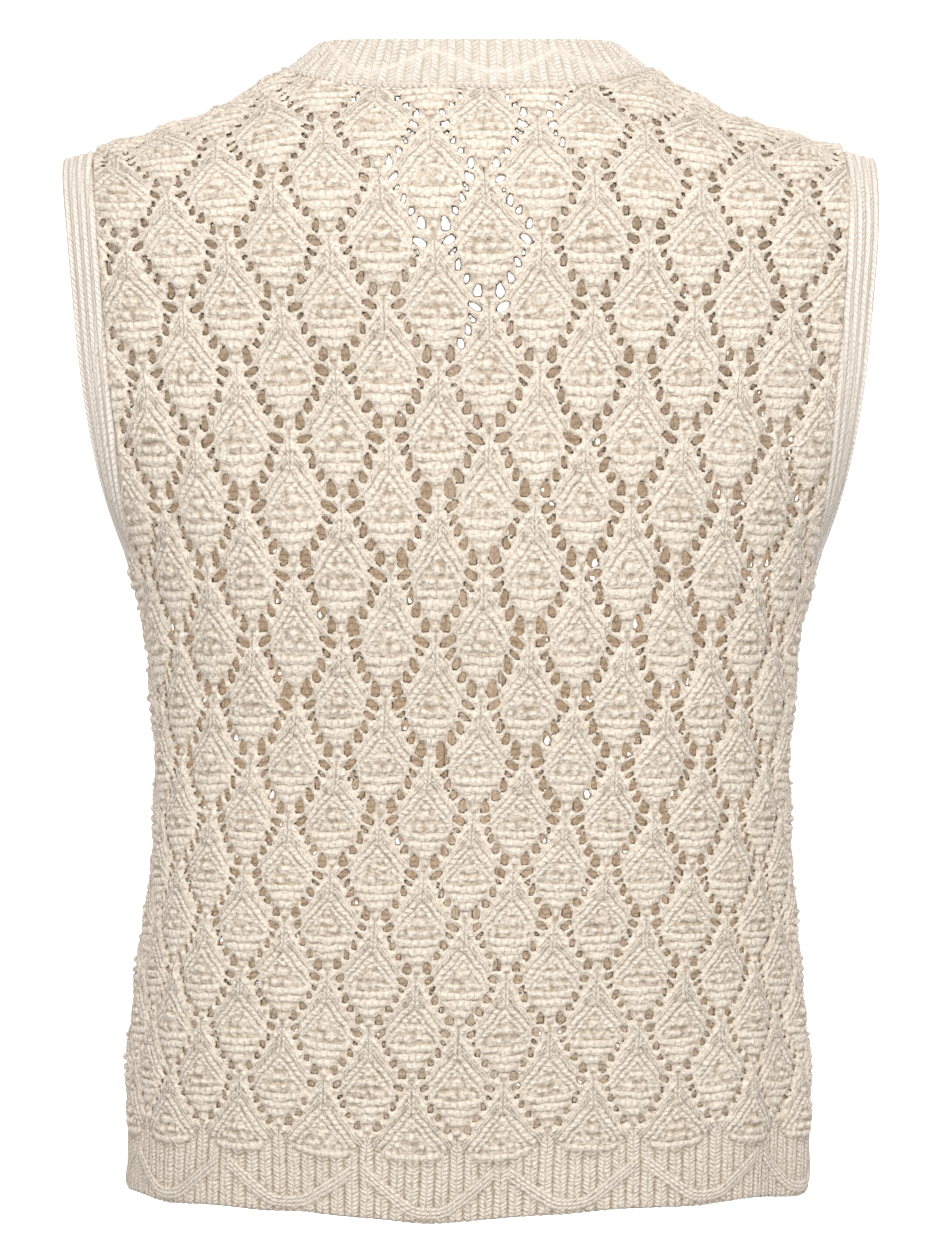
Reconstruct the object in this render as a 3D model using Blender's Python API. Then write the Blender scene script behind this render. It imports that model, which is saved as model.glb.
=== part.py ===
"""Sleeveless cardigan in leaf lace, worn shape with nobody in it.

Metres, +Z up. The origin is midway between the two points where neck and shoulder meet. The back faces +Y, the
buttoned front faces -Y, and +X is the wearer's left. All sizes below are in millimetres.

The cloth is laid out on a form. A place on it has two numbers: `across`, the arc length from the middle of the back
or front, and `up`, the length of cloth from a fixed height, which equals Z below the shoulder bend.
"""

import math

import bmesh
import bpy
import numpy as np
from mathutils import Vector
from mathutils.geometry import delaunay_2d_cdt

MM = 0.001

# ---------------------------------------------------------------- driving sizes
WALL = 2.4  # thickness of the knitted cloth
GAP = 0.3  # space left at every seam
HEM_EDGE = -541.0  # height of the lowest edge
HEM_TOP = -506.0  # seam between hem rib and lace
UNDERARM = -229.0  # height of the lowest point of the armhole
SHOULDER_BEND = -112.0  # above this the cloth turns over the shoulder
SQUARE = 2.5  # exponent of the chest sections: 2 is an ellipse
SHOULDER_SQUARE = 2.2  # exponent of the turn over the shoulder
SHOULDER_FLARE = 1.034  # the shoulders are this much wider than the chest under them
ARM_REACH = 54.0  # half the front-to-back width of the armhole
ARM_ROUND = 88.0  # height over which the foot of the armhole rounds out
ARM_BAND = 19.0  # width of the armhole band
NECK_HALF = 87.0  # half width of the neck opening at the shoulders
NECK_BACK = 64.5  # how far the neck opening reaches back
NECK_SQUARE = 3.0  # exponent of the neckline: 2 is an ellipse
NECK_TOP, NECK_TOP_RISE = 8.0, 2.6  # height of the neckband's edge at the middle, and more at the shoulders
NECK_SEAM = 1.3  # the standing band starts this far above its seam, clear of the sloping cloth
NECK_RIBS = 34  # crosswise ribs of the neckband
NECK_LEAN_BACK, NECK_LEAN_SIDE = 14.0, 52.0  # degrees from upright, at the back and at the shoulders
NECK_ZIGZAG, NECK_ZIGZAG_START = 64.0, -14.0  # spacing of the neckband's zigzag, and one of its low turns
FRONT_BAND = 28.0  # width of the button bands
V_FOOT = -212.0  # height where the two fronts start to cross
BUTTON_RADIUS = 7.5
BUTTON_THICK = 3.0
BUTTON_COUNT = 5
BUTTON_SIDES = 14
BUTTON_TOP = -226.0
BUTTON_STEP = -71.5
ARM_STATIONS = 16  # places along half an armhole
BAND_STATIONS = 36  # places along a front band
STAND_LENGTH = 85.0  # length over which a front band rises to stand at the neck
NARROW_LENGTH = 150.0  # length over which a front band narrows towards the neck
BAND_RIB = 1.0  # height of the lengthwise ribs on the bands
LAP = (WALL + BAND_RIB + GAP + 0.2) / 2  # the lapped fronts part by twice this
LAP_RISE, LAP_FADE = 60.0, 50.0  # they part as far as this above the V's foot, and meet again over that
LAP_RAMP = 18.0  # width over which a front moves out or in to lap the other
BAND_RIBS = 4  # lengthwise ribs of a band
RIB_PITCH, RIB_RELIEF = 7.2, 0.9  # the hem's ribs
NECK_RIB_RELIEF = 0.8  # height of the neckband's ribs
CABLE_RELIEF, CABLE_HALF = 1.1, 3.4  # height of the cables over hem and neckband, and half their width
ZIGZAG_LOW, ZIGZAG_RISE = 8.5, 11.5  # the neckband's zigzag, above the seam
CABLE_START, CABLE_PERIOD = 17.1, 65.0  # a low turn of the cable on the hem rib, and their spacing
CABLE_LOW, CABLE_HIGH = -536.5, -516.0

# Sections of the form, from shoulder to hem.
FORM_COLUMNS = ("height", "half_width", "back", "front", "leaf_width")
FORM = np.array([
    (40.0, 187.7, 97.0, 106.0, 48.9),
    (-112.0, 187.7, 97.0, 106.0, 48.0),
    (-163.0, 181.7, 102.5, 112.0, 46.0),
    (-202.0, 173.9, 106.0, 114.5, 44.8),
    (-230.0, 165.4, 107.0, 114.5, 44.2),
    (-259.0, 156.8, 106.0, 113.0, 43.6),
    (-298.0, 150.9, 102.5, 109.5, 43.0),
    (-345.0, 148.9, 99.5, 105.5, 42.6),
    (-374.0, 149.8, 100.0, 105.5, 42.2),
    (-413.0, 153.7, 102.5, 107.0, 41.6),
    (-451.0, 158.2, 105.5, 109.0, 41.2),
    (-490.0, 161.0, 107.5, 110.5, 40.9),
    (-541.0, 161.4, 107.5, 110.5, 40.6),
])

# Height of the shoulder seam above the origin, at each distance from the middle.
SHOULDER_COLUMNS = ("from_middle", "height")
SHOULDER = np.array([
    (0.0, 9.0), (60.0, 4.5), (87.0, -2.5), (99.0, -10.5), (123.0, -23.0),
    (147.0, -31.5), (171.0, -38.5), (196.0, -45.5), (230.0, -58.0),
])

# Rows where leaf tips meet, counted up from the hem. Odd rows have a meeting point on the middle line.
LEAF_ROW_COLUMNS = ("row", "up")
LEAF_ROWS = np.array([
    (-3.0, -551.75), (-2.0, -527.0), (0.0, -477.5), (1.0, -452.7), (3.0, -403.2), (5.0, -354.6),
    (7.0, -301.3), (9.0, -241.2), (11.0, -178.9), (13.0, -117.6), (15.0, -62.0), (18.0, 16.0), (20.0, 68.0),
])

# The lace leans: its middle line drifts from the middle of the back.
LEAN_COLUMNS = ("up", "drift")
LEAN = np.array([(-541.0, 4.8), (-470.0, 4.6), (-370.0, 0.3), (-300.0, -3.6), (-200.0, -6.3), (60.0, -6.6)])

# The garment hangs a little to the wearer's right below the shoulders, and back to the left towards the hem.
SWAY_COLUMNS = ("height", "aside")
SWAY = np.array([
    (-541.0, 1.0), (-475.0, -0.1), (-418.0, -0.4), (-360.0, -1.4), (-310.0, -2.3), (-280.0, -2.4),
    (-200.0, -2.4), (-130.0, -2.4), (-75.0, -1.9), (-50.0, -0.7), (-30.0, -0.1), (0.0, 0.0), (60.0, 0.0),
])

# The hem rises towards the side seams, and the lace above it follows.
HEM_RISE, HEM_RISE_REACH, HEM_RISE_FADE = 5.5, 150.0, 120.0

# Soft folds in the cloth near the hem: where, how wide and how deep (inward is negative).
FOLD_COLUMNS = ("side", "across", "up", "half_width", "half_length", "depth")
FOLDS = (
    ("back", -158.0, -505.0, 15.0, 95.0, -4.0),
    ("back", -186.0, -500.0, 14.0, 80.0, 2.4),
    ("back", 176.0, -470.0, 20.0, 80.0, -2.6),
    ("front", 150.0, -500.0, 20.0, 90.0, -3.4),
    ("front", -130.0, -480.0, 22.0, 95.0, -3.0),
)

# Places where the hem is drawn up: where, how wide and long, and by how much.
LIFT_COLUMNS = ("side", "across", "up", "half_width", "half_length", "rise")
LIFTS = (
    ("back", -52.0, -541.0, 34.0, 100.0, 3.4),
    ("back", -118.0, -541.0, 30.0, 100.0, 2.0),
    ("back", 78.0, -541.0, 16.0, 60.0, 2.2),
)


def smooth_column(table, column, at):
    """Reads one column of a table with a smooth curve through its rows."""
    order = np.argsort(table[:, 0])
    x, y = table[order, 0], table[order, column]
    slope = np.gradient(y, x)
    at = np.clip(np.asarray(at, float), x[0], x[-1])
    k = np.clip(np.searchsorted(x, at) - 1, 0, len(x) - 2)
    h = x[k + 1] - x[k]
    t = (at - x[k]) / h
    return (
        (1 + 2 * t) * (1 - t) ** 2 * y[k]
        + t * (1 - t) ** 2 * h * slope[k]
        + t * t * (3 - 2 * t) * y[k + 1]
        + t * t * (t - 1) * h * slope[k + 1]
    )


def form_value(name, height):
    return smooth_column(FORM, FORM_COLUMNS.index(name), height)


def quarter_turn(exponent, steps=241):
    """A quarter of a superellipse of unit half axes: sine side, cosine side."""
    t = np.linspace(0.0, math.pi / 2, steps)
    return np.sin(t) ** (2 / exponent), np.abs(np.cos(t)) ** (2 / exponent)


class Form:
    """The surface that half of the garment lies on, looked up by (across, up)."""

    STEP = 2.0

    def __init__(self, side):
        self.side = side
        self.sign = 1.0 if side == "back" else -1.0
        self.across = np.arange(-20.0, 330.0, self.STEP)
        self.up = np.arange(HEM_EDGE - 8, 110.0, self.STEP)
        grid = np.array([self._row(u) for u in self.up])
        self.point = grid
        d_up = np.gradient(grid, self.STEP, axis=0)
        d_across = np.gradient(grid, self.STEP, axis=1)
        normal = np.cross(d_across, d_up) * -self.sign
        self.normal = normal / np.maximum(np.linalg.norm(normal, axis=2, keepdims=True), 1e-9)

    def reach(self, up):
        """Half axes of the whole section: wider than the cloth where the armhole cuts it."""
        low = np.minimum(up, SHOULDER_BEND)
        depth = form_value(self.side, low)
        half = form_value("half_width", low)
        rise = np.clip((low - UNDERARM) / ARM_ROUND, 0.0, 1.0)
        arm = ARM_REACH * np.sqrt(1 - (1 - rise) ** 2)
        cut = (1 - (arm / depth) ** SQUARE) ** (1 / SQUARE)
        return half / cut, depth

    def _row(self, up):
        width, depth = self.reach(up)
        sine, cosine = quarter_turn(SQUARE, 1201)
        x = np.concatenate([sine, sine[-2::-1]]) * width
        y = np.concatenate([cosine, -cosine[-2::-1]]) * depth
        arc = np.concatenate([[0.0], np.cumsum(np.hypot(np.diff(x), np.diff(y)))])
        near = np.abs(self.across)
        px = np.interp(near, arc, x) * np.sign(self.across)
        py = np.interp(near, arc, y)
        pz = np.full_like(px, min(up, SHOULDER_BEND))
        if up > SHOULDER_BEND:
            over = up - SHOULDER_BEND
            ridge_x = px * SHOULDER_FLARE
            height = smooth_column(SHOULDER, 1, np.abs(ridge_x)) - SHOULDER_BEND
            length = turn_length(height, np.abs(py))
            q = over / length
            rise, keep = turn_at(np.where(q > 1, 2 - q, q))
            pz = SHOULDER_BEND + height * rise
            px = px * (1 + (SHOULDER_FLARE - 1) * rise)
            py = py * keep * np.where(q > 1, -1, 1)
        return np.stack([px, py * self.sign, pz], axis=1)

    def _look(self, grid, across, up):
        a = (np.abs(across) - self.across[0]) / self.STEP
        b = (up - self.up[0]) / self.STEP
        i = np.clip(a.astype(int), 0, len(self.across) - 2)
        j = np.clip(b.astype(int), 0, len(self.up) - 2)
        fa, fb = (a - i)[:, None], (b - j)[:, None]
        low = grid[j, i] * (1 - fa) + grid[j, i + 1] * fa
        high = grid[j + 1, i] * (1 - fa) + grid[j + 1, i + 1] * fa
        out = low * (1 - fb) + high * fb
        out[:, 0] *= np.where(across < 0, -1, 1)
        return out

    def place(self, across, up, out=0.0):
        """Points on the form, moved out along its normal."""
        across, up = np.atleast_1d(across).astype(float), np.atleast_1d(up).astype(float)
        across, up = np.broadcast_arrays(across, up)
        normal = self._look(self.normal, across, up)
        normal /= np.linalg.norm(normal, axis=1, keepdims=True)
        out = out + self.swell(FOLDS, across, up)
        point = self._look(self.point, across, up)
        point[:, 0] += smooth_column(SWAY, 1, point[:, 2])
        point[:, 2] += self.swell(LIFTS, across, up)
        return point + normal * np.reshape(out, (-1, 1))

    def swell(self, table, across, up):
        """The sum of soft mounds and dips, one for each row of a table."""
        total = np.zeros(len(across))
        for side, at, height, half_width, half_length, size in table:
            if side == self.side:
                far = ((across - at) / half_width) ** 2 + ((up - height) / half_length) ** 2
                total += size * np.exp(-far)
        return total

    def seam(self, up):
        """Arc length from the middle to the side seam."""
        width, depth = self.reach(up)
        sine, cosine = quarter_turn(SQUARE, 1201)
        return float(np.sum(np.hypot(np.diff(sine * width), np.diff(cosine * depth))))

    def ridge(self, across):
        """Cloth length at which a column reaches the shoulder seam."""
        point = self._look(self.point, np.array([abs(across)]), np.array([SHOULDER_BEND]))[0]
        height = smooth_column(SHOULDER, 1, abs(point[0]) * SHOULDER_FLARE) - SHOULDER_BEND
        return SHOULDER_BEND + float(turn_length(np.array([height]), np.array([abs(point[1])]))[0])

    def armhole(self, up):
        """Arc length from the middle to the armhole's edge."""
        half = float(form_value("half_width", min(up, SHOULDER_BEND)))
        width, depth = self.reach(up)
        sine, cosine = quarter_turn(SQUARE, 1201)
        x, y = sine * width, cosine * depth
        arc = np.concatenate([[0.0], np.cumsum(np.hypot(np.diff(x), np.diff(y)))])
        return float(np.interp(half, x, arc))


TURN_SINE, TURN_COSINE = quarter_turn(SHOULDER_SQUARE)


def turn_length(height, depth):
    steps = np.hypot(np.outer(height, np.diff(TURN_SINE)), np.outer(depth, np.diff(TURN_COSINE)))
    return steps.sum(axis=1)


def turn_at(q):
    """Share of the rise, and share of the depth kept, after a share q of the turn's length."""
    arc = np.concatenate([[0.0], np.cumsum(np.hypot(np.diff(TURN_SINE), np.diff(TURN_COSINE)))])
    arc /= arc[-1]
    return np.interp(q, arc, TURN_SINE), np.interp(q, arc, TURN_COSINE)


BACK = Form("back")
FRONT = Form("front")


# ---------------------------------------------------------------- outlines, in (across, up)
def offset_line(line, distance):
    """A line moved to its left by a distance."""
    line = np.asarray(line)
    along = np.gradient(line, axis=0)
    along /= np.linalg.norm(along, axis=1, keepdims=True)
    return line + distance * np.stack([-along[:, 1], along[:, 0]], axis=1)


def armhole_line(form, count):
    """The armhole's edge on one half of the garment, from the side seam up to the shoulder, evenly spaced."""
    rise = UNDERARM + (SHOULDER_BEND - UNDERARM) * np.linspace(0.0, 1.0, 60) ** 2.0
    low = [(form.armhole(u), u) for u in rise]
    edge = low[-1][0]
    high = [(edge, u) for u in np.linspace(SHOULDER_BEND, form.ridge(edge), 20)[1:]]
    return even(np.array(low + high), count)


def even(line, count):
    """The same line with evenly spaced points."""
    line = np.asarray(line, float)
    arc = np.concatenate([[0.0], np.cumsum(np.linalg.norm(np.diff(line, axis=0), axis=1))])
    at = np.linspace(0.0, arc[-1], count)
    return np.stack([np.interp(at, arc, line[:, 0]), np.interp(at, arc, line[:, 1])], axis=1)


def find_up(form, across, depth):
    """Cloth length at which a column has turned in to the given distance from the middle plane."""
    low, high = SHOULDER_BEND, form.ridge(across)
    for _ in range(40):
        middle = (low + high) / 2
        y = abs(form.place(across, middle)[0][1])
        low, high = (middle, high) if y > depth else (low, middle)
    return low


def neck_across(form):
    """Arc length from the middle to the point where neck and shoulder meet."""
    at = np.arange(40.0, 140.0, 0.25)
    ridge = np.array([form.ridge(a) for a in at])
    half = (form.place(at, ridge)[:, 0] - form.place(-at, ridge)[:, 0]) / 2
    return float(np.interp(NECK_HALF, half, at))


def back_neck_line(count):
    """The back neckline, from the wearer's right shoulder to the left."""
    edge = neck_across(BACK)
    line = []
    for share in np.linspace(-1.0, 1.0, count):
        across = edge * math.sin(share * math.pi / 2)
        depth = NECK_BACK * max(0.0, 1 - abs(across / edge) ** NECK_SQUARE) ** (1 / NECK_SQUARE)
        line.append((across, find_up(BACK, across, depth)))
    return np.array(line)


def overlap(form, side, across, up):
    """How far the fronts part at the middle, so that the wearer's right band lies on the left one."""
    if form is BACK:
        return np.zeros(len(across))
    near = 1 - blend((np.abs(across) - FRONT_BAND / 2) / LAP_RAMP)
    low = 1 - blend((up - V_FOOT - LAP_RISE) / LAP_FADE)
    return -side * LAP * near * low


def blend(t):
    t = np.clip(t, 0.0, 1.0)
    return t * t * (3 - 2 * t)


def front_seam_line(count):
    """Seam of the left front and its button band: up beside the middle, then along the V to the shoulder."""
    edge = neck_across(FRONT)
    half = FRONT_BAND / 2
    line = [(half, u) for u in np.linspace(HEM_EDGE, V_FOOT, 60)]
    top = FRONT.ridge(edge)
    for t in np.linspace(0.0, 1.0, 60)[1:]:
        bow = math.sin(t * math.pi / 2) ** 1.35
        line.append((half + (edge - half) * bow, V_FOOT + (top - V_FOOT) * t))
    return even(line, count)


# ---------------------------------------------------------------- the lace pattern, in leaf columns and rows
def leaf_width(up):
    return form_value("leaf_width", np.minimum(up, 40.0))


def drift(form, up):
    """How far the lace's middle line is from the middle: the front's lace is half a leaf beside it."""
    return smooth_column(LEAN, 1, up) if form is BACK else leaf_width(up) / 2


def row_up(row):
    return float(smooth_column(LEAF_ROWS, 1, row))


def hem_rise(across, up):
    """How much higher the hem, and the lace near it, are than on the middle line."""
    return HEM_RISE * blend(np.abs(across) / HEM_RISE_REACH) * (1 - blend((up - HEM_TOP) / HEM_RISE_FADE))


def leaf_tips(form):
    """The meeting points of the lace: row, across, up, and the height of the leaf that hangs from each."""
    tips = []
    for row in range(-2, 19):
        level = row_up(row)
        shift = 0.0 if row % 2 else 0.5
        for number in range(-8, 9):
            across = float((number + shift) * leaf_width(level) + drift(form, level))
            tips.append((row, across, level + float(hem_rise(across, level)), level - row_up(row - 2)))
    return tips


# Points of one leaf that stand proud of the cloth: share of its width, share of its height below the tip, and
# relief.
LEAF_POINT_COLUMNS = ("aside", "below", "relief")
LEAF_POINTS = (
    (0.0, 0.0, 0.5),
    (-0.25, 0.25, 1.1),
    (0.25, 0.25, 1.1),
    (0.0, 0.45, 2.2),
)
# The largest eyelet of each leaf: it stands beside the meeting point at the leaf's foot.
EYE_ASIDE, EYE_ABOVE = 0.118, 0.20  # share of the leaf's width and of its upper half
EYE_LONG, EYE_WIDE, EYE_TILT = 9.0, 4.8, 24.0  # length, width, degrees from upright
EYE_LIFT = 1.5
EYE_RELIEF = 0.7  # how far an eyelet's rim stands out
EYE_MARGIN = 9.0  # nearest that an eyelet comes to a panel's edge
EYE_LIMIT = 300


def eyelet(across, up, side):
    """A drop-shaped gap, pointed at the top, leaning away from the meeting point."""
    tilt = math.radians(EYE_TILT) * side
    half, wide = EYE_LONG / 2, EYE_WIDE / 2
    drop = [(0.0, half), (-wide, -0.12 * half), (0.0, -half), (wide, -0.12 * half)]
    cosine, sine = math.cos(tilt), math.sin(tilt)
    return [(across + x * cosine + y * sine, up - x * sine + y * cosine) for x, y in drop]


# ---------------------------------------------------------------- solids
def inside(points, outline):
    """Which points lie inside a closed outline."""
    points, outline = np.asarray(points), np.asarray(outline)
    x, y = points[:, 0], points[:, 1]
    hit = np.zeros(len(points), bool)
    for (x0, y0), (x1, y1) in zip(outline, np.roll(outline, -1, axis=0)):
        if y0 != y1:
            crossing = (y0 > y) != (y1 > y)
            hit ^= crossing & (x < (x1 - x0) * (y - y0) / (y1 - y0) + x0)
    return hit


def distance_to(points, outline):
    """Shortest distance from each point to a closed outline."""
    points, start = np.asarray(points, float), np.asarray(outline, float)
    best = np.full(len(points), 1e9)
    for a, b in zip(start, np.roll(start, -1, axis=0)):
        way = b - a
        t = np.clip(((points - a) @ way) / max(way @ way, 1e-9), 0, 1)
        best = np.minimum(best, np.linalg.norm(points - a - t[:, None] * way, axis=1))
    return best


def add_object(name, points, faces, material):
    """One named solid, from points in millimetres."""
    mesh = bpy.data.meshes.new(name)
    mesh.from_pydata([tuple(p * MM for p in point) for point in points], [], [tuple(f) for f in faces])
    shaped = bmesh.new()
    shaped.from_mesh(mesh)
    bmesh.ops.triangulate(shaped, faces=shaped.faces)
    bmesh.ops.recalc_face_normals(shaped, faces=shaped.faces)
    if shaped.calc_volume(signed=True) < 0:
        bmesh.ops.reverse_faces(shaped, faces=shaped.faces)
    shaped.to_mesh(mesh)
    shaped.free()
    mesh.materials.append(material)
    piece = bpy.data.objects.new(name, mesh)
    bpy.context.collection.objects.link(piece)
    return piece


def add_panel(name, form, side, outline, material, eyes):
    """A lace panel: outline and eyelets are cut in the flat, then it is laid on the form and given its wall."""
    outline = np.asarray(outline)
    points, reliefs = [tuple(p) for p in outline], [0.0] * len(outline)
    loops = [list(range(len(outline)))]
    for hole in eyes:
        start = len(points)
        points += hole
        reliefs += [EYE_RELIEF] * len(hole)
        loops.append(list(range(start, len(points))))
    spots, heights = [], []
    for _row, across, up, tall in leaf_tips(form):
        wide = leaf_width(up)
        for aside, below, relief in LEAF_POINTS:
            spots.append((across + aside * wide, up - below * tall))
            heights.append(relief)
    spots, heights = np.array(spots), np.array(heights)
    keep = inside(spots, outline) & (distance_to(spots, outline) > 3.5)
    if eyes:
        corners = np.array(points[len(outline):])
        keep &= np.linalg.norm(spots[:, None] - corners[None], axis=2).min(axis=1) > 1.2
    spots, heights = spots[keep], heights[keep]
    plain = heights == max(heights)
    outer, outer_faces = flat_faces(points + [tuple(p) for p in spots], loops)
    inner, inner_faces = flat_faces(points + [tuple(p) for p in spots[plain]], loops)
    reliefs = np.concatenate([reliefs, heights])
    rim = [(loop[i], loop[(i + 1) % len(loop)]) for loop in loops for i in range(len(loop))]
    count = len(outer)
    shell = outer_faces + [tuple(v + count for v in face[::-1]) for face in inner_faces]
    shell += [(b, a, a + count, b + count) for a, b in rim]
    lap = overlap(form, side, outer[:, 0], outer[:, 1])
    outer = form.place(outer[:, 0], outer[:, 1], lap + WALL / 2 + reliefs)
    lap = overlap(form, side, inner[:, 0], inner[:, 1])
    inner = form.place(inner[:, 0], inner[:, 1], lap - WALL / 2)
    return add_object(name, np.concatenate([outer, inner]), shell, material)


def flat_faces(points, loops):
    """Triangles between the first loop and the others, which are its holes. The points keep their order."""
    edges = [(loop[i], loop[(i + 1) % len(loop)]) for loop in loops for i in range(len(loop))]
    flat, _, faces, sources, _, _ = delaunay_2d_cdt([Vector(p) for p in points], edges, [], 0, 1e-5, True)
    if len(flat) != len(points):
        raise ValueError("the outline and its holes must not cross")
    order = [source[0] for source in sources]
    points = np.array(points)
    faces = [tuple(order[v] for v in face) for face in faces]
    middle = np.array([points[list(face)].mean(axis=0) for face in faces])
    solid = inside(middle, points[loops[0]])
    for loop in loops[1:]:
        solid &= ~inside(middle, points[loop])
    return points, [face for face, kept in zip(faces, solid) if kept]


def add_strip(name, grid, relief, material, ring=False):
    """A band: a grid of points on its middle surface, thickened to both sides, with ribs raised outside."""
    along = np.gradient(grid, axis=0)
    if ring:
        along = (np.roll(grid, -1, axis=0) - np.roll(grid, 1, axis=0)) / 2
    across = np.gradient(grid, axis=1)
    normal = np.cross(along, across)
    normal /= np.linalg.norm(normal, axis=2, keepdims=True)
    outer = grid + normal * (WALL / 2 + relief)[:, :, None]
    inner_columns = sorted({0, grid.shape[1] // 2, grid.shape[1] - 1})
    inner = (grid - normal * WALL / 2)[:, inner_columns]
    section = np.concatenate([outer, inner[:, ::-1]], axis=1)
    rows, size = section.shape[:2]
    faces = []
    for i in range(rows if ring else rows - 1):
        for j in range(size):
            k = (j + 1) % size
            n = (i + 1) % rows
            faces.append((i * size + j, i * size + k, n * size + k, n * size + j))
    if not ring:
        faces.append(tuple(range(size))[::-1])
        faces.append(tuple((rows - 1) * size + j for j in range(size)))
    return add_object(name, section.reshape(-1, 3), faces, material)


def ribs(count, steps, height):
    """Relief of lengthwise ribs over a band's width, low at both edges."""
    at = np.linspace(0.0, 1.0, steps)
    return height * (0.5 - 0.5 * np.cos(2 * math.pi * count * at))


# ---------------------------------------------------------------- pieces
def inside_armhole(form, width):
    """The armhole's edge moved in by a width. Back and front meet at one place on the shoulder."""
    edge = armhole_line(form, ARM_STATIONS)
    line = offset_line(edge, width)
    foot = edge[0][1] - width
    line[0] = (form.seam(foot), foot)
    target = ridge_x(BACK, BACK.armhole(SHOULDER_BEND) - width)[0]
    at = np.linspace(edge[-1][0] - 60.0, edge[-1][0] + 20.0, 161)
    across = float(np.interp(target, ridge_x(form, at), at))
    late = blend(np.linspace(-1.0, 1.0, ARM_STATIONS))
    line[:, 0] += (across - line[-1][0]) * late
    line[-1] = (across, form.ridge(across))
    return line


def ridge_x(form, across):
    """Distance from the middle of the shoulder seam's points."""
    return form.place(across, SHOULDER_BEND)[:, 0] * SHOULDER_FLARE


def armhole_band(name, side, material):
    """A ribbed ring round one armhole: up the back from the side seam, over the shoulder, down the front."""
    halves = []
    for form in (BACK, FRONT):
        rows = []
        for r in np.linspace(0.0, ARM_BAND - GAP / 2, 2 * BAND_RIBS + 1):
            line = inside_armhole(form, r)
            rows.append(form.place(side * line[:, 0], line[:, 1]))
        halves.append(np.stack(rows, axis=1))
    back, front = halves
    grid = np.concatenate([back, front[::-1][1:-1]])
    relief = np.tile(ribs(BAND_RIBS, grid.shape[1], BAND_RIB), (len(grid), 1))
    if side > 0:
        grid = grid[::-1]
    return add_strip(name, grid, relief, material, ring=True)


def armhole_seam(form):
    """Where the lace meets the armhole band, from the side seam up to the shoulder."""
    line = inside_armhole(form, ARM_BAND + GAP / 2)
    line[0][0] -= GAP / 2
    line[-1][1] = form.ridge(line[-1][0]) - GAP / 2
    return line


def side_seam(form, low, high, count):
    ups = np.linspace(low, high, count)
    return np.array([(form.seam(u) - GAP / 2, u) for u in ups])


def shoulder_seam(form, start, stop, count):
    return np.array([(a, form.ridge(a) - GAP / 2) for a in np.linspace(start, stop, count)])


def half_outline(form):
    """One half of a panel, from the hem seam's outer end up to the neck."""
    arm = armhole_seam(form)
    low = HEM_TOP + GAP / 2
    side = side_seam(form, low, arm[0][1], 14)
    top = shoulder_seam(form, arm[-1][0], neck_across(form), 5)
    return np.concatenate([side[:-1], arm, top[1:]])


def back_outline():
    half = half_outline(BACK)
    neck = back_neck_line(NECK_RIBS + 1)[1:-1] - (0.0, GAP / 2)
    hem = [(a, HEM_TOP + GAP / 2) for a in np.linspace(-half[0][0], half[0][0], 29)[1:-1]]
    return np.concatenate([half, neck[::-1], half[::-1] * (-1, 1), hem])


def front_outline():
    half = half_outline(FRONT)
    seam = offset_line(front_seam_line(BAND_STATIONS), -GAP / 2)
    seam = seam[seam[:, 1] > HEM_TOP + 4.0]
    seam[-1][1] -= GAP / 2
    hem = [(a, HEM_TOP + GAP / 2) for a in np.linspace(FRONT_BAND / 2 + GAP / 2, half[0][0], 14)[:-1]]
    return np.concatenate([half, seam[::-1][1:], hem])


def eyelets(form, outline):
    """The larger eyelet over each meeting point that lies well inside a panel, and how far inside."""
    found = []
    for row, across, up, _tall in leaf_tips(form):
        hand = 1 if across > 0 else -1
        aside, above = EYE_ASIDE * float(leaf_width(up)), EYE_ABOVE * (row_up(row + 1) - row_up(row))
        hole = eyelet(across + hand * aside, up + above + EYE_LIFT, hand)
        margin = distance_to(hole, outline).min()
        if inside(hole, outline).all() and margin > EYE_MARGIN:
            found.append((margin, hole))
    return found


def zigzag(turn):
    """0 at each low turn, 1 at each peak between."""
    return np.abs(2 * (turn - np.round(turn)))


def winding_cable(across, up):
    """Relief of the cable that winds along the hem rib."""
    rise = (CABLE_HIGH - CABLE_LOW) * zigzag((across - CABLE_START) / CABLE_PERIOD)
    line = CABLE_LOW + rise + hem_rise(across, HEM_EDGE)
    return CABLE_RELIEF * np.exp(-((up - line) / CABLE_HALF) ** 2)


def hem(name, form, side, material):
    """A ribbed hem band with a cable winding over it: the back's, or one front's from its button band."""
    inner = 0.0 if form is BACK else FRONT_BAND / 2 + GAP / 2
    steps = 2 * round((form.seam(HEM_TOP) - inner) * (2 if form is BACK else 1) / RIB_PITCH)
    shares = np.linspace(-1.0 if form is BACK else 0.0, 1.0, steps + 1)
    rows, reliefs = [], []
    for number, share in enumerate(shares):
        ups = np.linspace(HEM_TOP - GAP / 2, HEM_EDGE, 3)
        limits = np.array([form.seam(up) - GAP / 2 for up in ups])
        hand = math.copysign(1.0, share) if form is BACK else side
        across = hand * (inner + (limits - inner) * abs(share))
        ups[1:] += hem_rise(across[1:], ups[1:]) * (0.5, 1.0)
        rows.append(form.place(across, ups, overlap(form, side, across, ups)))
        reliefs.append(RIB_RELIEF * (number % 2) + winding_cable(across, ups))
    grid, relief = np.stack(rows), np.array(reliefs)
    relief[[0, -1]] = 0.0
    if side > 0:
        grid, relief = grid[::-1], relief[::-1]
    return add_strip(name, grid, relief, material)


def standing(points, lean_back, lean_side):
    """Direction in which the neckband stands up from its seam: up, and leaning in over the neck."""
    away = points * (1.0, 1.0, 0.0)
    length = np.linalg.norm(away, axis=1, keepdims=True)
    away = away / np.maximum(length, 1e-6)
    share = np.abs(points[:, 0:1]) / NECK_HALF
    lean = np.radians(lean_back + (lean_side - lean_back) * np.clip(share, 0, 1) ** 2)
    return np.cos(lean) * (0, 0, 1) - np.sin(lean) * away


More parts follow.
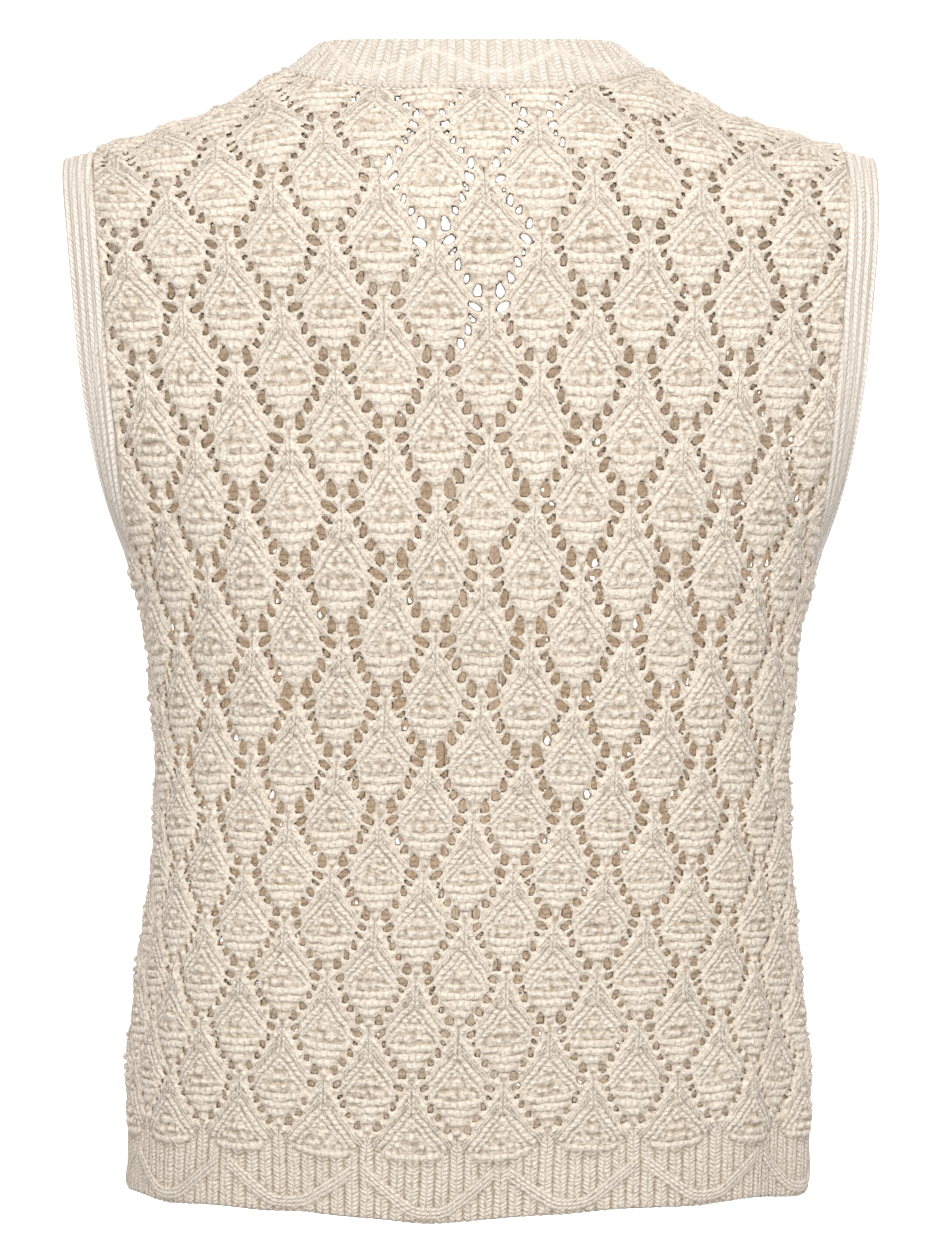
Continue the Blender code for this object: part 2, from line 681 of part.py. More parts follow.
def band_reach(base, way):
    """How far the neckband stands from its seam to its nearly level edge."""
    edge = NECK_TOP + NECK_TOP_RISE * (base[:, 0] / NECK_HALF) ** 2
    return (edge - base[:, 2]) / way[:, 2]


def neckband(name, material):
    """The band that stands up round the back of the neck, with crosswise ribs and a zigzag over them."""
    count = 2 * NECK_RIBS + 1
    line = back_neck_line(count)
    base = BACK.place(line[:, 0], line[:, 1])
    at = np.concatenate([[0.0], np.cumsum(np.linalg.norm(np.diff(base, axis=0), axis=1))])
    base[[0, -1], 1] = GAP / 2
    way = standing(base, NECK_LEAN_BACK, NECK_LEAN_SIDE)
    rises = NECK_SEAM + (band_reach(base, way) - NECK_SEAM)[:, None] * np.linspace(0.0, 1.0, 3)
    grid = base[:, None] + way[:, None] * rises[:, :, None]
    relief = np.full_like(rises, NECK_RIB_RELIEF)
    relief[::2] = 0.0
    crest = ZIGZAG_LOW + ZIGZAG_RISE * zigzag((at - at[-1] / 2 - NECK_ZIGZAG_START) / NECK_ZIGZAG)
    relief += CABLE_RELIEF * np.exp(-((rises - crest[:, None]) / CABLE_HALF) ** 2)
    return add_strip(name, grid[::-1], relief[::-1], material)


def front_band(name, side, material):
    """A ribbed button band: flat on the front as far as the V, then round the neck to the shoulder."""
    seam = front_seam_line(BAND_STATIONS)
    aside = offset_line(seam, 1.0) - seam
    at = np.concatenate([[0.0], np.cumsum(np.linalg.norm(np.diff(seam, axis=0), axis=1))])
    top = FRONT.place(side * seam[-1:, 0], seam[-1:, 1])
    end = band_reach(top, standing(top, NECK_LEAN_BACK, NECK_LEAN_SIDE))
    narrow = (end - FRONT_BAND) * blend((at - at[-1] + NARROW_LENGTH) / NARROW_LENGTH)
    columns = 9
    offsets = []
    for share in np.linspace(0.0, 1.0, columns):
        width = GAP / 2 + (FRONT_BAND - GAP / 2 + narrow) * share
        offsets.append(seam + aside * width[:, None])
    grid = []
    for line in offsets:
        lap = overlap(FRONT, side, line[:, 0], line[:, 1])
        grid.append(FRONT.place(side * line[:, 0], line[:, 1], lap))
    grid = np.stack(grid, axis=1)
    lift = blend((at - at[-1] + STAND_LENGTH) / STAND_LENGTH)[:, None]
    way = standing(grid[:, 0], NECK_LEAN_BACK, NECK_LEAN_SIDE)
    for j in range(1, columns):
        reach = np.linalg.norm(grid[:, j] - grid[:, 0], axis=1, keepdims=True)
        up = grid[:, 0] + way * reach
        grid[:, j] = grid[:, j] * (1 - lift) + up * lift
    grid += (way * NECK_SEAM * lift)[:, None]
    grid[-1, :, 1] = -GAP / 2
    if side < 0:
        grid = grid[::-1]
    relief = np.tile(ribs(BAND_RIBS, columns, BAND_RIB), (len(grid), 1))
    return add_strip(name, grid, relief, material)


def button(name, height, material):
    """A turned button with a raised rim and four holes, on the middle of the outer band."""
    seat = FRONT.place(0.0, height, LAP + WALL / 2 + BAND_RIB + GAP + 0.1)[0]
    ahead = FRONT.place(0.0, height, 10.0)[0] - FRONT.place(0.0, height, 0.0)[0]
    rim, dish = BUTTON_RADIUS, BUTTON_THICK - 0.8
    profile = (
        (0.0, 0.0), (rim - 1.6, 0.0), (rim, 1.3), (rim - 0.4, 2.6), (rim - 1.4, BUTTON_THICK), (rim - 2.6, dish),
        (0.0, dish),
    )
    shaped = bmesh.new()
    corners = [shaped.verts.new((r * MM, 0.0, h * MM)) for r, h in profile]
    edges = [shaped.edges.new(pair) for pair in zip(corners, corners[1:])]
    bmesh.ops.spin(shaped, geom=edges, cent=(0, 0, 0), axis=(0, 0, 1), angle=2 * math.pi, steps=BUTTON_SIDES)
    bmesh.ops.remove_doubles(shaped, verts=shaped.verts, dist=0.0001)
    bmesh.ops.recalc_face_normals(shaped, faces=shaped.faces)
    mesh = bpy.data.meshes.new(name)
    shaped.to_mesh(mesh)
    shaped.free()
    mesh.materials.append(material)
    piece = bpy.data.objects.new(name, mesh)
    piece.location = [c * MM for c in seat]
    piece.rotation_euler = Vector(ahead).to_track_quat("Z", "Y").to_euler()
    bpy.context.collection.objects.link(piece)
    mesh.shade_smooth()
    return piece


def plain_material(name, colour, roughness):
    material = bpy.data.materials.new(name)
    material.use_nodes = True
    shader = material.node_tree.nodes["Principled BSDF"]
    shader.inputs["Base Color"].default_value = (*colour, 1.0)
    shader.inputs["Roughness"].default_value = roughness
    shader.inputs["Metallic"].default_value = 0.0
    return material


def mirrored(outline):
    return outline[::-1] * (-1, 1)


def main():
    for old in list(bpy.data.objects):
        bpy.data.objects.remove(old, do_unlink=True)
    lace = plain_material("cream_lace_knit", (0.72, 0.62, 0.50), 0.92)
    rib = plain_material("cream_rib_knit", (0.74, 0.65, 0.53), 0.92)
    horn = plain_material("pale_button", (0.62, 0.52, 0.38), 0.35)

    back, left = back_outline(), front_outline()
    right = mirrored(left)
    cut = [("back", *found) for found in eyelets(BACK, back)]
    cut += [("left", *found) for found in eyelets(FRONT, left)]
    cut += [("right", *found) for found in eyelets(FRONT, right)]
    cut.sort(key=lambda found: -found[1])
    cut = cut[:EYE_LIMIT]
    eyes = {name: [hole for panel, _, hole in cut if panel == name] for name in ("back", "left", "right")}

    add_panel("back_panel", BACK, 0, back, lace, eyes["back"])
    add_panel("front_left_panel", FRONT, 1, left, lace, eyes["left"])
    add_panel("front_right_panel", FRONT, -1, right, lace, eyes["right"])
    hem("hem_back", BACK, 0, rib)
    hem("hem_front_left", FRONT, 1, rib)
    hem("hem_front_right", FRONT, -1, rib)
    armhole_band("armhole_band_left", 1, rib)
    armhole_band("armhole_band_right", -1, rib)
    neckband("neckband_back", rib)
    front_band("front_band_left", 1, rib)
    front_band("front_band_right", -1, rib)
    for number in range(BUTTON_COUNT):
        button(f"button_{number + 1}", BUTTON_TOP + number * BUTTON_STEP, horn)


main()
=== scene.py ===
"""Sleeveless cardigan in leaf lace: the finish, knitted surface, light and camera around the fixed frame.

Metres and +Z up in the scene. Cloth sizes below are in millimetres and turned into metres when a mesh is made.
"""

import math

import bmesh
import bpy
import numpy as np
from mathutils import Matrix, Vector
from mathutils.geometry import delaunay_2d_cdt


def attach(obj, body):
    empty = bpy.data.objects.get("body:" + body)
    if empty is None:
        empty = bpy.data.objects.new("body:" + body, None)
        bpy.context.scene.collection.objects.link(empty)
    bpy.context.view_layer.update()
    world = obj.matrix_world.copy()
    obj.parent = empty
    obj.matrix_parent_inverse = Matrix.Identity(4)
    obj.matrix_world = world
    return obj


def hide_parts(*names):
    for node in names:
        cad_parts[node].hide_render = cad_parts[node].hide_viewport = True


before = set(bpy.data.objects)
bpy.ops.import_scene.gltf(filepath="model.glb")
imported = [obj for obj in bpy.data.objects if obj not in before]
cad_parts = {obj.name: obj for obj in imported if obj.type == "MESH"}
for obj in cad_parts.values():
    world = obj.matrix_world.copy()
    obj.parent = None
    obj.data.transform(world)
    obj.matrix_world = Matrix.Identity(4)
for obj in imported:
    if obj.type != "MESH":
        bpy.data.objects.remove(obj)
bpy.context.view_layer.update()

MM = 0.001

# ---------------------------------------------------------------- driving sizes
WALL = 2.4  # thickness of the knitted cloth
GAP = 0.1  # space left at every seam
HEM_EDGE = -541.0  # height of the lowest edge
HEM_TOP = -506.0  # seam between hem rib and lace
HEM_SCALLOP = 1.6  # rise of the hem's edge between the low turns of its cable
UNDERARM = -229.0  # height of the lowest point of the armhole
SHOULDER_BEND = -112.0  # above this the cloth turns over the shoulder
SQUARE = 2.5  # exponent of the chest sections: 2 is an ellipse
SHOULDER_SQUARE = 2.2  # exponent of the turn over the shoulder
SHOULDER_FLARE = 1.034  # the shoulders are this much wider than the chest under them
ARM_REACH = 54.0  # half the front-to-back width of the armhole
ARM_ROUND = 88.0  # height over which the foot of the armhole rounds out
ARM_BAND = 19.0  # width of the armhole band
NECK_HALF = 87.0  # half width of the neck opening at the shoulders
NECK_BACK = 64.5  # how far the neck opening reaches back
NECK_SQUARE = 3.0  # exponent of the neckline: 2 is an ellipse
NECK_TOP, NECK_TOP_RISE = 8.0, 2.6  # the neckband's edge: height at the middle, and more at the shoulders
NECK_SEAM = 1.3  # the standing band starts this far above its seam, clear of the sloping cloth
NECK_RIBS, NECK_RIB_HEIGHT = 34, 0.8
NECK_LEAN_BACK, NECK_LEAN_SIDE = 14.0, 52.0  # degrees from upright, at the back and at the shoulders
NECK_ZIGZAG, NECK_ZIGZAG_START = 64.0, -14.0  # spacing of the neckband's zigzag, and one of its low turns
ZIGZAG_LOW, ZIGZAG_RISE = 8.5, 11.5  # its height over the seam at the low turns, and its rise
ZIGZAG_HEIGHT, ZIGZAG_HALF, ZIGZAG_CLEAR = 1.15, 1.1, 2.1  # its relief, half width, and how near the ribs end
FRONT_BAND = 28.0  # width of the button bands
V_FOOT = -212.0  # height where the two fronts start to cross
BUTTON_RADIUS = 7.5
BUTTON_THICK = 3.0
BUTTON_COUNT = 5
BUTTON_TOP = -226.0
BUTTON_STEP = -71.5
STAND_LENGTH = 85.0  # length over which a front band rises to stand at the neck
NARROW_LENGTH = 150.0  # length over which a front band narrows towards the neck
BAND_RIBS, BAND_RIB = 4, 1.0  # number and height of the lengthwise ribs on the bands
STITCHES_PER_MM = 0.36  # along the bands
LAP = (WALL + BAND_RIB + GAP + 0.2) / 2  # the lapped fronts part by twice this
LAP_RISE, LAP_FADE = 60.0, 50.0  # they part as far as this above the V's foot, and meet again over that
LAP_RAMP = 18.0  # width over which a front moves out or in to lap the other

# Sections of the form, from shoulder to hem.
FORM_COLUMNS = ("height", "half_width", "back", "front", "leaf_width")
FORM = np.array([
    (40.0, 187.7, 97.0, 106.0, 48.9),
    (-112.0, 187.7, 97.0, 106.0, 48.0),
    (-163.0, 181.7, 102.5, 112.0, 46.0),
    (-202.0, 173.9, 106.0, 114.5, 44.8),
    (-230.0, 165.4, 107.0, 114.5, 44.2),
    (-259.0, 156.8, 106.0, 113.0, 43.6),
    (-298.0, 150.9, 102.5, 109.5, 43.0),
    (-345.0, 148.9, 99.5, 105.5, 42.6),
    (-374.0, 149.8, 100.0, 105.5, 42.2),
    (-413.0, 153.7, 102.5, 107.0, 41.6),
    (-451.0, 158.2, 105.5, 109.0, 41.2),
    (-490.0, 161.0, 107.5, 110.5, 40.9),
    (-541.0, 161.4, 107.5, 110.5, 40.6),
])

# Height of the shoulder seam above the origin, at each distance from the middle.
# Columns: distance from the middle, height.
SHOULDER = np.array([
    (0.0, 9.0), (60.0, 4.5), (87.0, -2.5), (99.0, -10.5), (123.0, -23.0),
    (147.0, -31.5), (171.0, -38.5), (196.0, -45.5), (230.0, -58.0),
])

# Rows where leaf tips meet, counted up from the hem. Odd rows have a meeting point on the middle line.
# Columns: row, up.
LEAF_ROWS = np.array([
    (-3.0, -551.75), (-2.0, -527.0), (0.0, -477.5), (1.0, -452.7), (3.0, -403.2), (5.0, -354.6),
    (7.0, -301.3), (9.0, -241.2), (11.0, -178.9), (13.0, -117.6), (15.0, -62.0), (18.0, 16.0), (20.0, 68.0),
])

# The lace leans: its middle line drifts from the middle of the back.
# Columns: up, drift.
LEAN = np.array([(-541.0, 4.8), (-470.0, 4.6), (-370.0, 0.3), (-300.0, -3.6), (-200.0, -6.3), (60.0, -6.6)])

# The garment hangs a little to the wearer's right below the shoulders, and back to the left towards the hem.
# Columns: height, aside.
SWAY = np.array([
    (-541.0, 1.0), (-475.0, -0.1), (-418.0, -0.4), (-360.0, -1.4), (-310.0, -2.3), (-280.0, -2.4),
    (-200.0, -2.4), (-130.0, -2.4), (-75.0, -1.9), (-50.0, -0.7), (-30.0, -0.1), (0.0, 0.0), (60.0, 0.0),
])

# The hem rises towards the side seams, and the lace above it follows.
HEM_RISE, HEM_RISE_REACH, HEM_RISE_FADE = 5.5, 150.0, 120.0

# Soft folds in the cloth near the hem: where, how wide and how deep (inward is negative).
# Columns: side, across, up, half width, half length, depth.
FOLDS = (
    ("back", -158.0, -505.0, 15.0, 95.0, -4.0),
    ("back", -186.0, -500.0, 14.0, 80.0, 2.4),
    ("back", 176.0, -470.0, 20.0, 80.0, -2.6),
    ("front", 150.0, -500.0, 20.0, 90.0, -3.4),
    ("front", -130.0, -480.0, 22.0, 95.0, -3.0),
)

# Places where the hem is drawn up: where, how wide and long, and by how much.
# Columns: side, across, up, half width, half length, rise.
LIFTS = (
    ("back", -52.0, -541.0, 34.0, 100.0, 3.4),
    ("back", -118.0, -541.0, 30.0, 100.0, 2.0),
    ("back", 78.0, -541.0, 16.0, 60.0, 2.2),
)


def smooth_column(table, column, at):
    """Reads one column of a table with a smooth curve through its rows."""
    order = np.argsort(table[:, 0])
    x, y = table[order, 0], table[order, column]
    slope = np.gradient(y, x)
    at = np.clip(np.asarray(at, float), x[0], x[-1])
    k = np.clip(np.searchsorted(x, at) - 1, 0, len(x) - 2)
    h = x[k + 1] - x[k]
    t = (at - x[k]) / h
    return (
        (1 + 2 * t) * (1 - t) ** 2 * y[k]
        + t * (1 - t) ** 2 * h * slope[k]
        + t * t * (3 - 2 * t) * y[k + 1]
        + t * t * (t - 1) * h * slope[k + 1]
    )


def form_value(name, height):
    return smooth_column(FORM, FORM_COLUMNS.index(name), height)


def quarter_turn(exponent, steps=241):
    """A quarter of a superellipse of unit half axes: sine side, cosine side."""
    t = np.linspace(0.0, math.pi / 2, steps)
    return np.sin(t) ** (2 / exponent), np.abs(np.cos(t)) ** (2 / exponent)


def arc_lengths(x, y):
    """How far each point of a curve is from its start, along it."""
    return np.concatenate([[0.0], np.cumsum(np.hypot(np.diff(x), np.diff(y)))])


class Form:
    """The surface that half of the garment lies on, looked up by (across, up)."""

    STEP = 2.0  # mesh width of the lookup table
    SECTION_STEPS = 1201

    def __init__(self, side):
        self.side = side
        self.sign = 1.0 if side == "back" else -1.0
        self.across = np.arange(-20.0, 330.0, self.STEP)
        self.up = np.arange(HEM_EDGE - 8, 110.0, self.STEP)
        grid = np.array([self._row(u) for u in self.up])
        self.point = grid
        d_up = np.gradient(grid, self.STEP, axis=0)
        d_across = np.gradient(grid, self.STEP, axis=1)
        normal = np.cross(d_across, d_up) * -self.sign
        self.normal = normal / np.maximum(np.linalg.norm(normal, axis=2, keepdims=True), 1e-9)

    def reach(self, up):
        """Half axes of the whole section: wider than the cloth where the armhole cuts it."""
        low = np.minimum(up, SHOULDER_BEND)
        depth = form_value(self.side, low)
        half = form_value("half_width", low)
        rise = np.clip((low - UNDERARM) / ARM_ROUND, 0.0, 1.0)
        arm = ARM_REACH * np.sqrt(1 - (1 - rise) ** 2)
        cut = (1 - (arm / depth) ** SQUARE) ** (1 / SQUARE)
        return half / cut, depth

    def _row(self, up):
        width, depth = self.reach(up)
        sine, cosine = quarter_turn(SQUARE, self.SECTION_STEPS)
        x = np.concatenate([sine, sine[-2::-1]]) * width
        y = np.concatenate([cosine, -cosine[-2::-1]]) * depth
        arc = arc_lengths(x, y)
        near = np.abs(self.across)
        px = np.interp(near, arc, x) * np.sign(self.across)
        py = np.interp(near, arc, y)
        pz = np.full_like(px, min(up, SHOULDER_BEND))
        if up > SHOULDER_BEND:
            over = up - SHOULDER_BEND
            ridge_x = px * SHOULDER_FLARE
            height = smooth_column(SHOULDER, 1, np.abs(ridge_x)) - SHOULDER_BEND
            length = turn_length(height, np.abs(py))
            q = over / length
            rise, keep = turn_at(np.where(q > 1, 2 - q, q))
            pz = SHOULDER_BEND + height * rise
            px = px * (1 + (SHOULDER_FLARE - 1) * rise)
            py = py * keep * np.where(q > 1, -1, 1)
        return np.stack([px, py * self.sign, pz], axis=1)

    def _look(self, grid, across, up):
        a = (np.abs(across) - self.across[0]) / self.STEP
        b = (up - self.up[0]) / self.STEP
        i = np.clip(a.astype(int), 0, len(self.across) - 2)
        j = np.clip(b.astype(int), 0, len(self.up) - 2)
        fa, fb = (a - i)[:, None], (b - j)[:, None]
        low = grid[j, i] * (1 - fa) + grid[j, i + 1] * fa
        high = grid[j + 1, i] * (1 - fa) + grid[j + 1, i + 1] * fa
        out = low * (1 - fb) + high * fb
        out[:, 0] *= np.where(across < 0, -1, 1)
        return out

    def place(self, across, up, out=0.0):
        """Points on the form, moved out along its normal."""
        across, up = np.atleast_1d(across).astype(float), np.atleast_1d(up).astype(float)
        across, up = np.broadcast_arrays(across, up)
        normal = self._look(self.normal, across, up)
        normal /= np.linalg.norm(normal, axis=1, keepdims=True)
        out = out + self.swell(FOLDS, across, up)
        point = self._look(self.point, across, up)
        point[:, 0] += smooth_column(SWAY, 1, point[:, 2])
        point[:, 2] += self.swell(LIFTS, across, up)
        return point + normal * np.reshape(out, (-1, 1))

    def swell(self, table, across, up):
        """The sum of soft mounds and dips, one for each row of a table."""
        total = np.zeros(len(across))
        for side, at, height, half_width, half_length, size in table:
            if side == self.side:
                total += size * np.exp(-((across - at) / half_width) ** 2 - ((up - height) / half_length) ** 2)
        return total

    def seam(self, up):
        """Arc length from the middle to the side seam."""
        width, depth = self.reach(up)
        sine, cosine = quarter_turn(SQUARE, self.SECTION_STEPS)
        return float(np.sum(np.hypot(np.diff(sine * width), np.diff(cosine * depth))))

    def ridge(self, across):
        """Cloth length at which a column reaches the shoulder seam."""
        point = self._look(self.point, np.array([abs(across)]), np.array([SHOULDER_BEND]))[0]
        height = smooth_column(SHOULDER, 1, abs(point[0]) * SHOULDER_FLARE) - SHOULDER_BEND
        return SHOULDER_BEND + float(turn_length(np.array([height]), np.array([abs(point[1])]))[0])

    def armhole(self, up):
        """Arc length from the middle to the armhole's edge."""
        half = float(form_value("half_width", min(up, SHOULDER_BEND)))
        width, depth = self.reach(up)
        sine, cosine = quarter_turn(SQUARE, self.SECTION_STEPS)
        x, y = sine * width, cosine * depth
        arc = arc_lengths(x, y)
        return float(np.interp(half, x, arc))


TURN_SINE, TURN_COSINE = quarter_turn(SHOULDER_SQUARE)


def turn_length(height, depth):
    steps = np.hypot(np.outer(height, np.diff(TURN_SINE)), np.outer(depth, np.diff(TURN_COSINE)))
    return steps.sum(axis=1)


def turn_at(q):
    """Share of the rise, and share of the depth kept, after a share q of the turn's length."""
    arc = arc_lengths(TURN_SINE, TURN_COSINE)
    arc /= arc[-1]
    return np.interp(q, arc, TURN_SINE), np.interp(q, arc, TURN_COSINE)


BACK = Form("back")
FRONT = Form("front")


# ---------------------------------------------------------------- lines on the form, in (across, up)
def offset_line(line, distance):
    """A line moved to its left by a distance."""
    line = np.asarray(line)
    along = np.gradient(line, axis=0)
    along /= np.linalg.norm(along, axis=1, keepdims=True)
    return line + distance * np.stack([-along[:, 1], along[:, 0]], axis=1)


def armhole_line(form, count):
    """The armhole's edge on one half of the garment, from the side seam up to the shoulder, evenly spaced."""
    rise = UNDERARM + (SHOULDER_BEND - UNDERARM) * np.linspace(0.0, 1.0, 60) ** 2.0
    low = [(form.armhole(u), u) for u in rise]
    edge = low[-1][0]
    high = [(edge, u) for u in np.linspace(SHOULDER_BEND, form.ridge(edge), 20)[1:]]
    return even(np.array(low + high), count)


def lengths_along(line):
    """How far each point of a line is from its start, along it."""
    return np.concatenate([[0.0], np.cumsum(np.linalg.norm(np.diff(line, axis=0), axis=1))])


def even(line, count):
    """The same line with evenly spaced points."""
    line = np.asarray(line, float)
    arc = lengths_along(line)
    at = np.linspace(0.0, arc[-1], count)
    return np.stack([np.interp(at, arc, line[:, 0]), np.interp(at, arc, line[:, 1])], axis=1)


def find_up(form, across, depth):
    """Cloth lengths at which columns have turned in to the given distances from the middle plane."""
    low = np.full(len(across), SHOULDER_BEND)
    high = np.array([form.ridge(a) for a in across])
    for _ in range(40):
        middle = (low + high) / 2
        far = np.abs(form.place(across, middle)[:, 1]) > depth
        low, high = np.where(far, middle, low), np.where(far, high, middle)
    return low


def neck_across(form):
    """Arc length from the middle to the point where neck and shoulder meet."""
    at = np.arange(40.0, 140.0, 0.25)
    ridge = np.array([form.ridge(a) for a in at])
    half = (form.place(at, ridge)[:, 0] - form.place(-at, ridge)[:, 0]) / 2
    return float(np.interp(NECK_HALF, half, at))


def back_neck_line(count):
    """The back neckline, from the wearer's right shoulder to the left."""
    edge = neck_across(BACK)
    across = edge * np.sin(np.linspace(-1.0, 1.0, count) * math.pi / 2)
    depth = NECK_BACK * np.maximum(0.0, 1 - np.abs(across / edge) ** NECK_SQUARE) ** (1 / NECK_SQUARE)
    return np.stack([across, find_up(BACK, across, depth)], axis=1)


def overlap(form, side, across, up):
    """How far the fronts part at the middle, so that the wearer's right band lies on the left one."""
    if form is BACK:
        return np.zeros(len(across))
    near = 1 - blend((np.abs(across) - FRONT_BAND / 2) / LAP_RAMP)
    low = 1 - blend((up - V_FOOT - LAP_RISE) / LAP_FADE)
    return -side * LAP * near * low


def blend(t):
    t = np.clip(t, 0.0, 1.0)
    return t * t * (3 - 2 * t)


def front_seam_line(count):
    """Seam between a front and its button band: up beside the middle, then along the V to the shoulder."""
    edge = neck_across(FRONT)
    half = FRONT_BAND / 2
    line = [(half, u) for u in np.linspace(HEM_EDGE, V_FOOT, 60)]
    top = FRONT.ridge(edge)
    for t in np.linspace(0.0, 1.0, 60)[1:]:
        bow = math.sin(t * math.pi / 2) ** 1.35
        line.append((half + (edge - half) * bow, V_FOOT + (top - V_FOOT) * t))
    return even(line, count)


# ---------------------------------------------------------------- the lace pattern
# A place in the lace is (u, v): leaf columns from its middle line, and leaf rows up from the hem. Leaves are
# diamonds one column wide and two rows high, and their tips meet at whole rows: at whole columns on odd rows,
# between them on even ones.
BACK_CELLS, FRONT_CELLS = (36, 26), (31, 23)  # mesh cells to a leaf's width and to a leaf row
SPARSE = 4  # the plain inner side has one point in so many of the outer side's
LEAF_SIZE = (44.0, 29.0)  # about a leaf's width and a leaf row's height, in mm
STITCHES_ACROSS = 13  # stitches in a leaf's width
RIB_COUNT = 6  # hem ribs to a leaf's width
HEM_ROW = -1.04  # the lowest row of leaves ends here, and the ribs begin
KNIT_WANDER = 0.32  # how unevenly the leaves lie, in mm: each wave of the drift has this height


def leaf_width(up):
    return form_value("leaf_width", np.minimum(up, 40.0))


def drift(form, up):
    return smooth_column(LEAN, 1, up) if form is BACK else leaf_width(up) / 2


def row_up(row):
    return smooth_column(LEAF_ROWS, 1, row)


def hem_rise(across, up):
    """How much higher the hem, and the lace near it, are than on the middle line."""
    return HEM_RISE * blend(np.abs(across) / HEM_RISE_REACH) * (1 - blend((up - HEM_TOP) / HEM_RISE_FADE))


def wander(u, v, size):
    """Slow uneven drift of the knitting, different in its two directions."""
    first = np.sin(1.7 * u + 0.9 * v + 0.4) + np.sin(-2.9 * u + 1.3 * v + 2.1)
    second = np.sin(1.1 * u - 1.2 * v + 1.3) + np.sin(3.3 * u + 0.8 * v + 0.2)
    first = first + 0.7 * np.sin(4.6 * u + 2.2 * v)
    second = second + 0.7 * np.sin(-4.1 * u + 2.7 * v + 1.0)
    return size * first, size * second


def cloth_place(form, u, v):
    """(across, up) of a place in the lace."""
    level = row_up(v)
    aside, rise = wander(u, v, KNIT_WANDER)
    calm = blend((v + 2.2) / 1.0)
    across = u * leaf_width(level) + drift(form, level) + aside * calm
    return across, level + rise * calm + hem_rise(across, level)


def leaf_place(u, v):
    """The leaf that a place lies in, and where: aside from -0.5 to 0.5, below from 0 (tip) to 1 (foot)."""
    p, q = u + v / 2, u - v / 2
    pc, qc = np.round(p), np.round(q)
    uc, vc = (pc + qc) / 2, pc - qc
    return u - uc, 0.5 - (v - vc) / 2, uc, vc


# Eyelets on a leaf's lower edges: place as shares of the leaf, half axes in mm on a leaf 61 mm high, degrees
# that the long axis leans outward at its foot, and how much narrower the top is than the foot.
# Columns: aside, below, half width, half length, lean, point.
EYES = (
    (0.358, 0.535, 1.75, 3.7, 55.0, 0.05),
    (0.333, 0.628, 0.85, 2.4, 40.0, 0.05),
    (0.282, 0.708, 1.25, 3.3, 12.0, 0.35),
    (0.212, 0.808, 1.50, 2.8, 16.0, 0.35),
    (0.112, 0.905, 1.90, 3.9, 3.0, 0.38),
)
# The holes shrink towards the hem and the shoulders.
# Columns: row, wide, long.
EYE_SIZES = np.array([
    (-2.0, 0.66, 0.46), (1.0, 0.74, 0.52), (3.0, 0.80, 0.60), (5.0, 0.88, 0.74), (7.0, 0.98, 0.92),
    (9.0, 1.0, 1.0), (12.0, 0.95, 0.92), (14.0, 0.82, 0.78), (16.0, 0.70, 0.64), (20.0, 0.6, 0.5),
])
EYE_CLEAR = {"back": 3.6, "front": 8.0}  # least distance of an eyelet's middle from the panel's edge
EYE_REACH = (0.19, 0.34)  # mesh cells nearer than this can touch an eyelet, in leaf columns and rows

# Raised knots inside a leaf: place, half width and half height as shares of the leaf, relief in mm.
# Columns: aside, below, wide, high, relief.
LENS = (0.0, 0.262, 0.086, 0.027, 2.1)  # sits on the tip of the third slanted rib
KNOTS = (
    LENS,
    (0.0, 0.410, 0.050, 0.026, 1.2),
    (0.0, 0.493, 0.090, 0.039, 2.1),
    (-0.122, 0.500, 0.032, 0.033, 1.1), (0.122, 0.500, 0.032, 0.033, 1.1),
    (-0.066, 0.589, 0.060, 0.034, 1.8), (0.068, 0.594, 0.058, 0.036, 1.8),
    (-0.172, 0.588, 0.042, 0.030, 1.2), (0.174, 0.588, 0.042, 0.030, 1.2),
    (0.0, 0.925, 0.045, 0.026, 1.2),
)
KNOT_SLIP = 0.012  # how unevenly the knots lie from leaf to leaf
RIB_STEP = 0.092  # depth of one slanted rib below the leaf's upper edge, as a share of its height
RIB_HEIGHTS = (1.35, 0.9, 1.0)  # the outer rope, a knit rib and an inner rope
ROOF_FROM, ROOF_STEP, ROOF_HEIGHT = 0.288, 0.084, 1.1  # the lowest slanted rib, over the knots
GROUND_HEIGHT = 0.25  # the rough ground between the knots
GROUND_PITCH = (13.0, 18.0)  # its pebbles to a leaf's width and height
GARTER_TOP, GARTER_STEP, GARTER_SMILE = 0.639, 0.0815, 0.30  # its first row, spacing, and how far rows sag
GARTER_HEIGHT = 1.4
LEAF_DOME, LEAF_DOME_REACH = 1.7, 0.36  # how far the leaf swells out, and over what share of its height
SPINE_STEP, SPINES = 0.05, 11.0  # spacing of the nested stitches at the leaf's top, and how many fit its width
STITCHES_ALONG = 12.0  # stitches along a slanted rib


def cord(share):
    """A round cord's height over its own width: 0 at both sides and outside, 1 in the middle."""
    return np.sqrt(np.clip(1 - (2 * share - 1) ** 2, 0, 1))


def leaf_chance(uc, vc, number):
    """A number between -1 and 1 that differs from leaf to leaf."""
    return np.modf(np.sin(12.9898 * uc + 78.233 * vc + 37.719 * number) * 4375.85)[0]


def wobble(u, v):
    """How unevenly the slanted ribs run, as a share of the leaf."""
    return 0.006 * (np.sin(23.0 * u + 9.0 * v) + np.sin(-17.0 * u + 14.0 * v + 1.0))


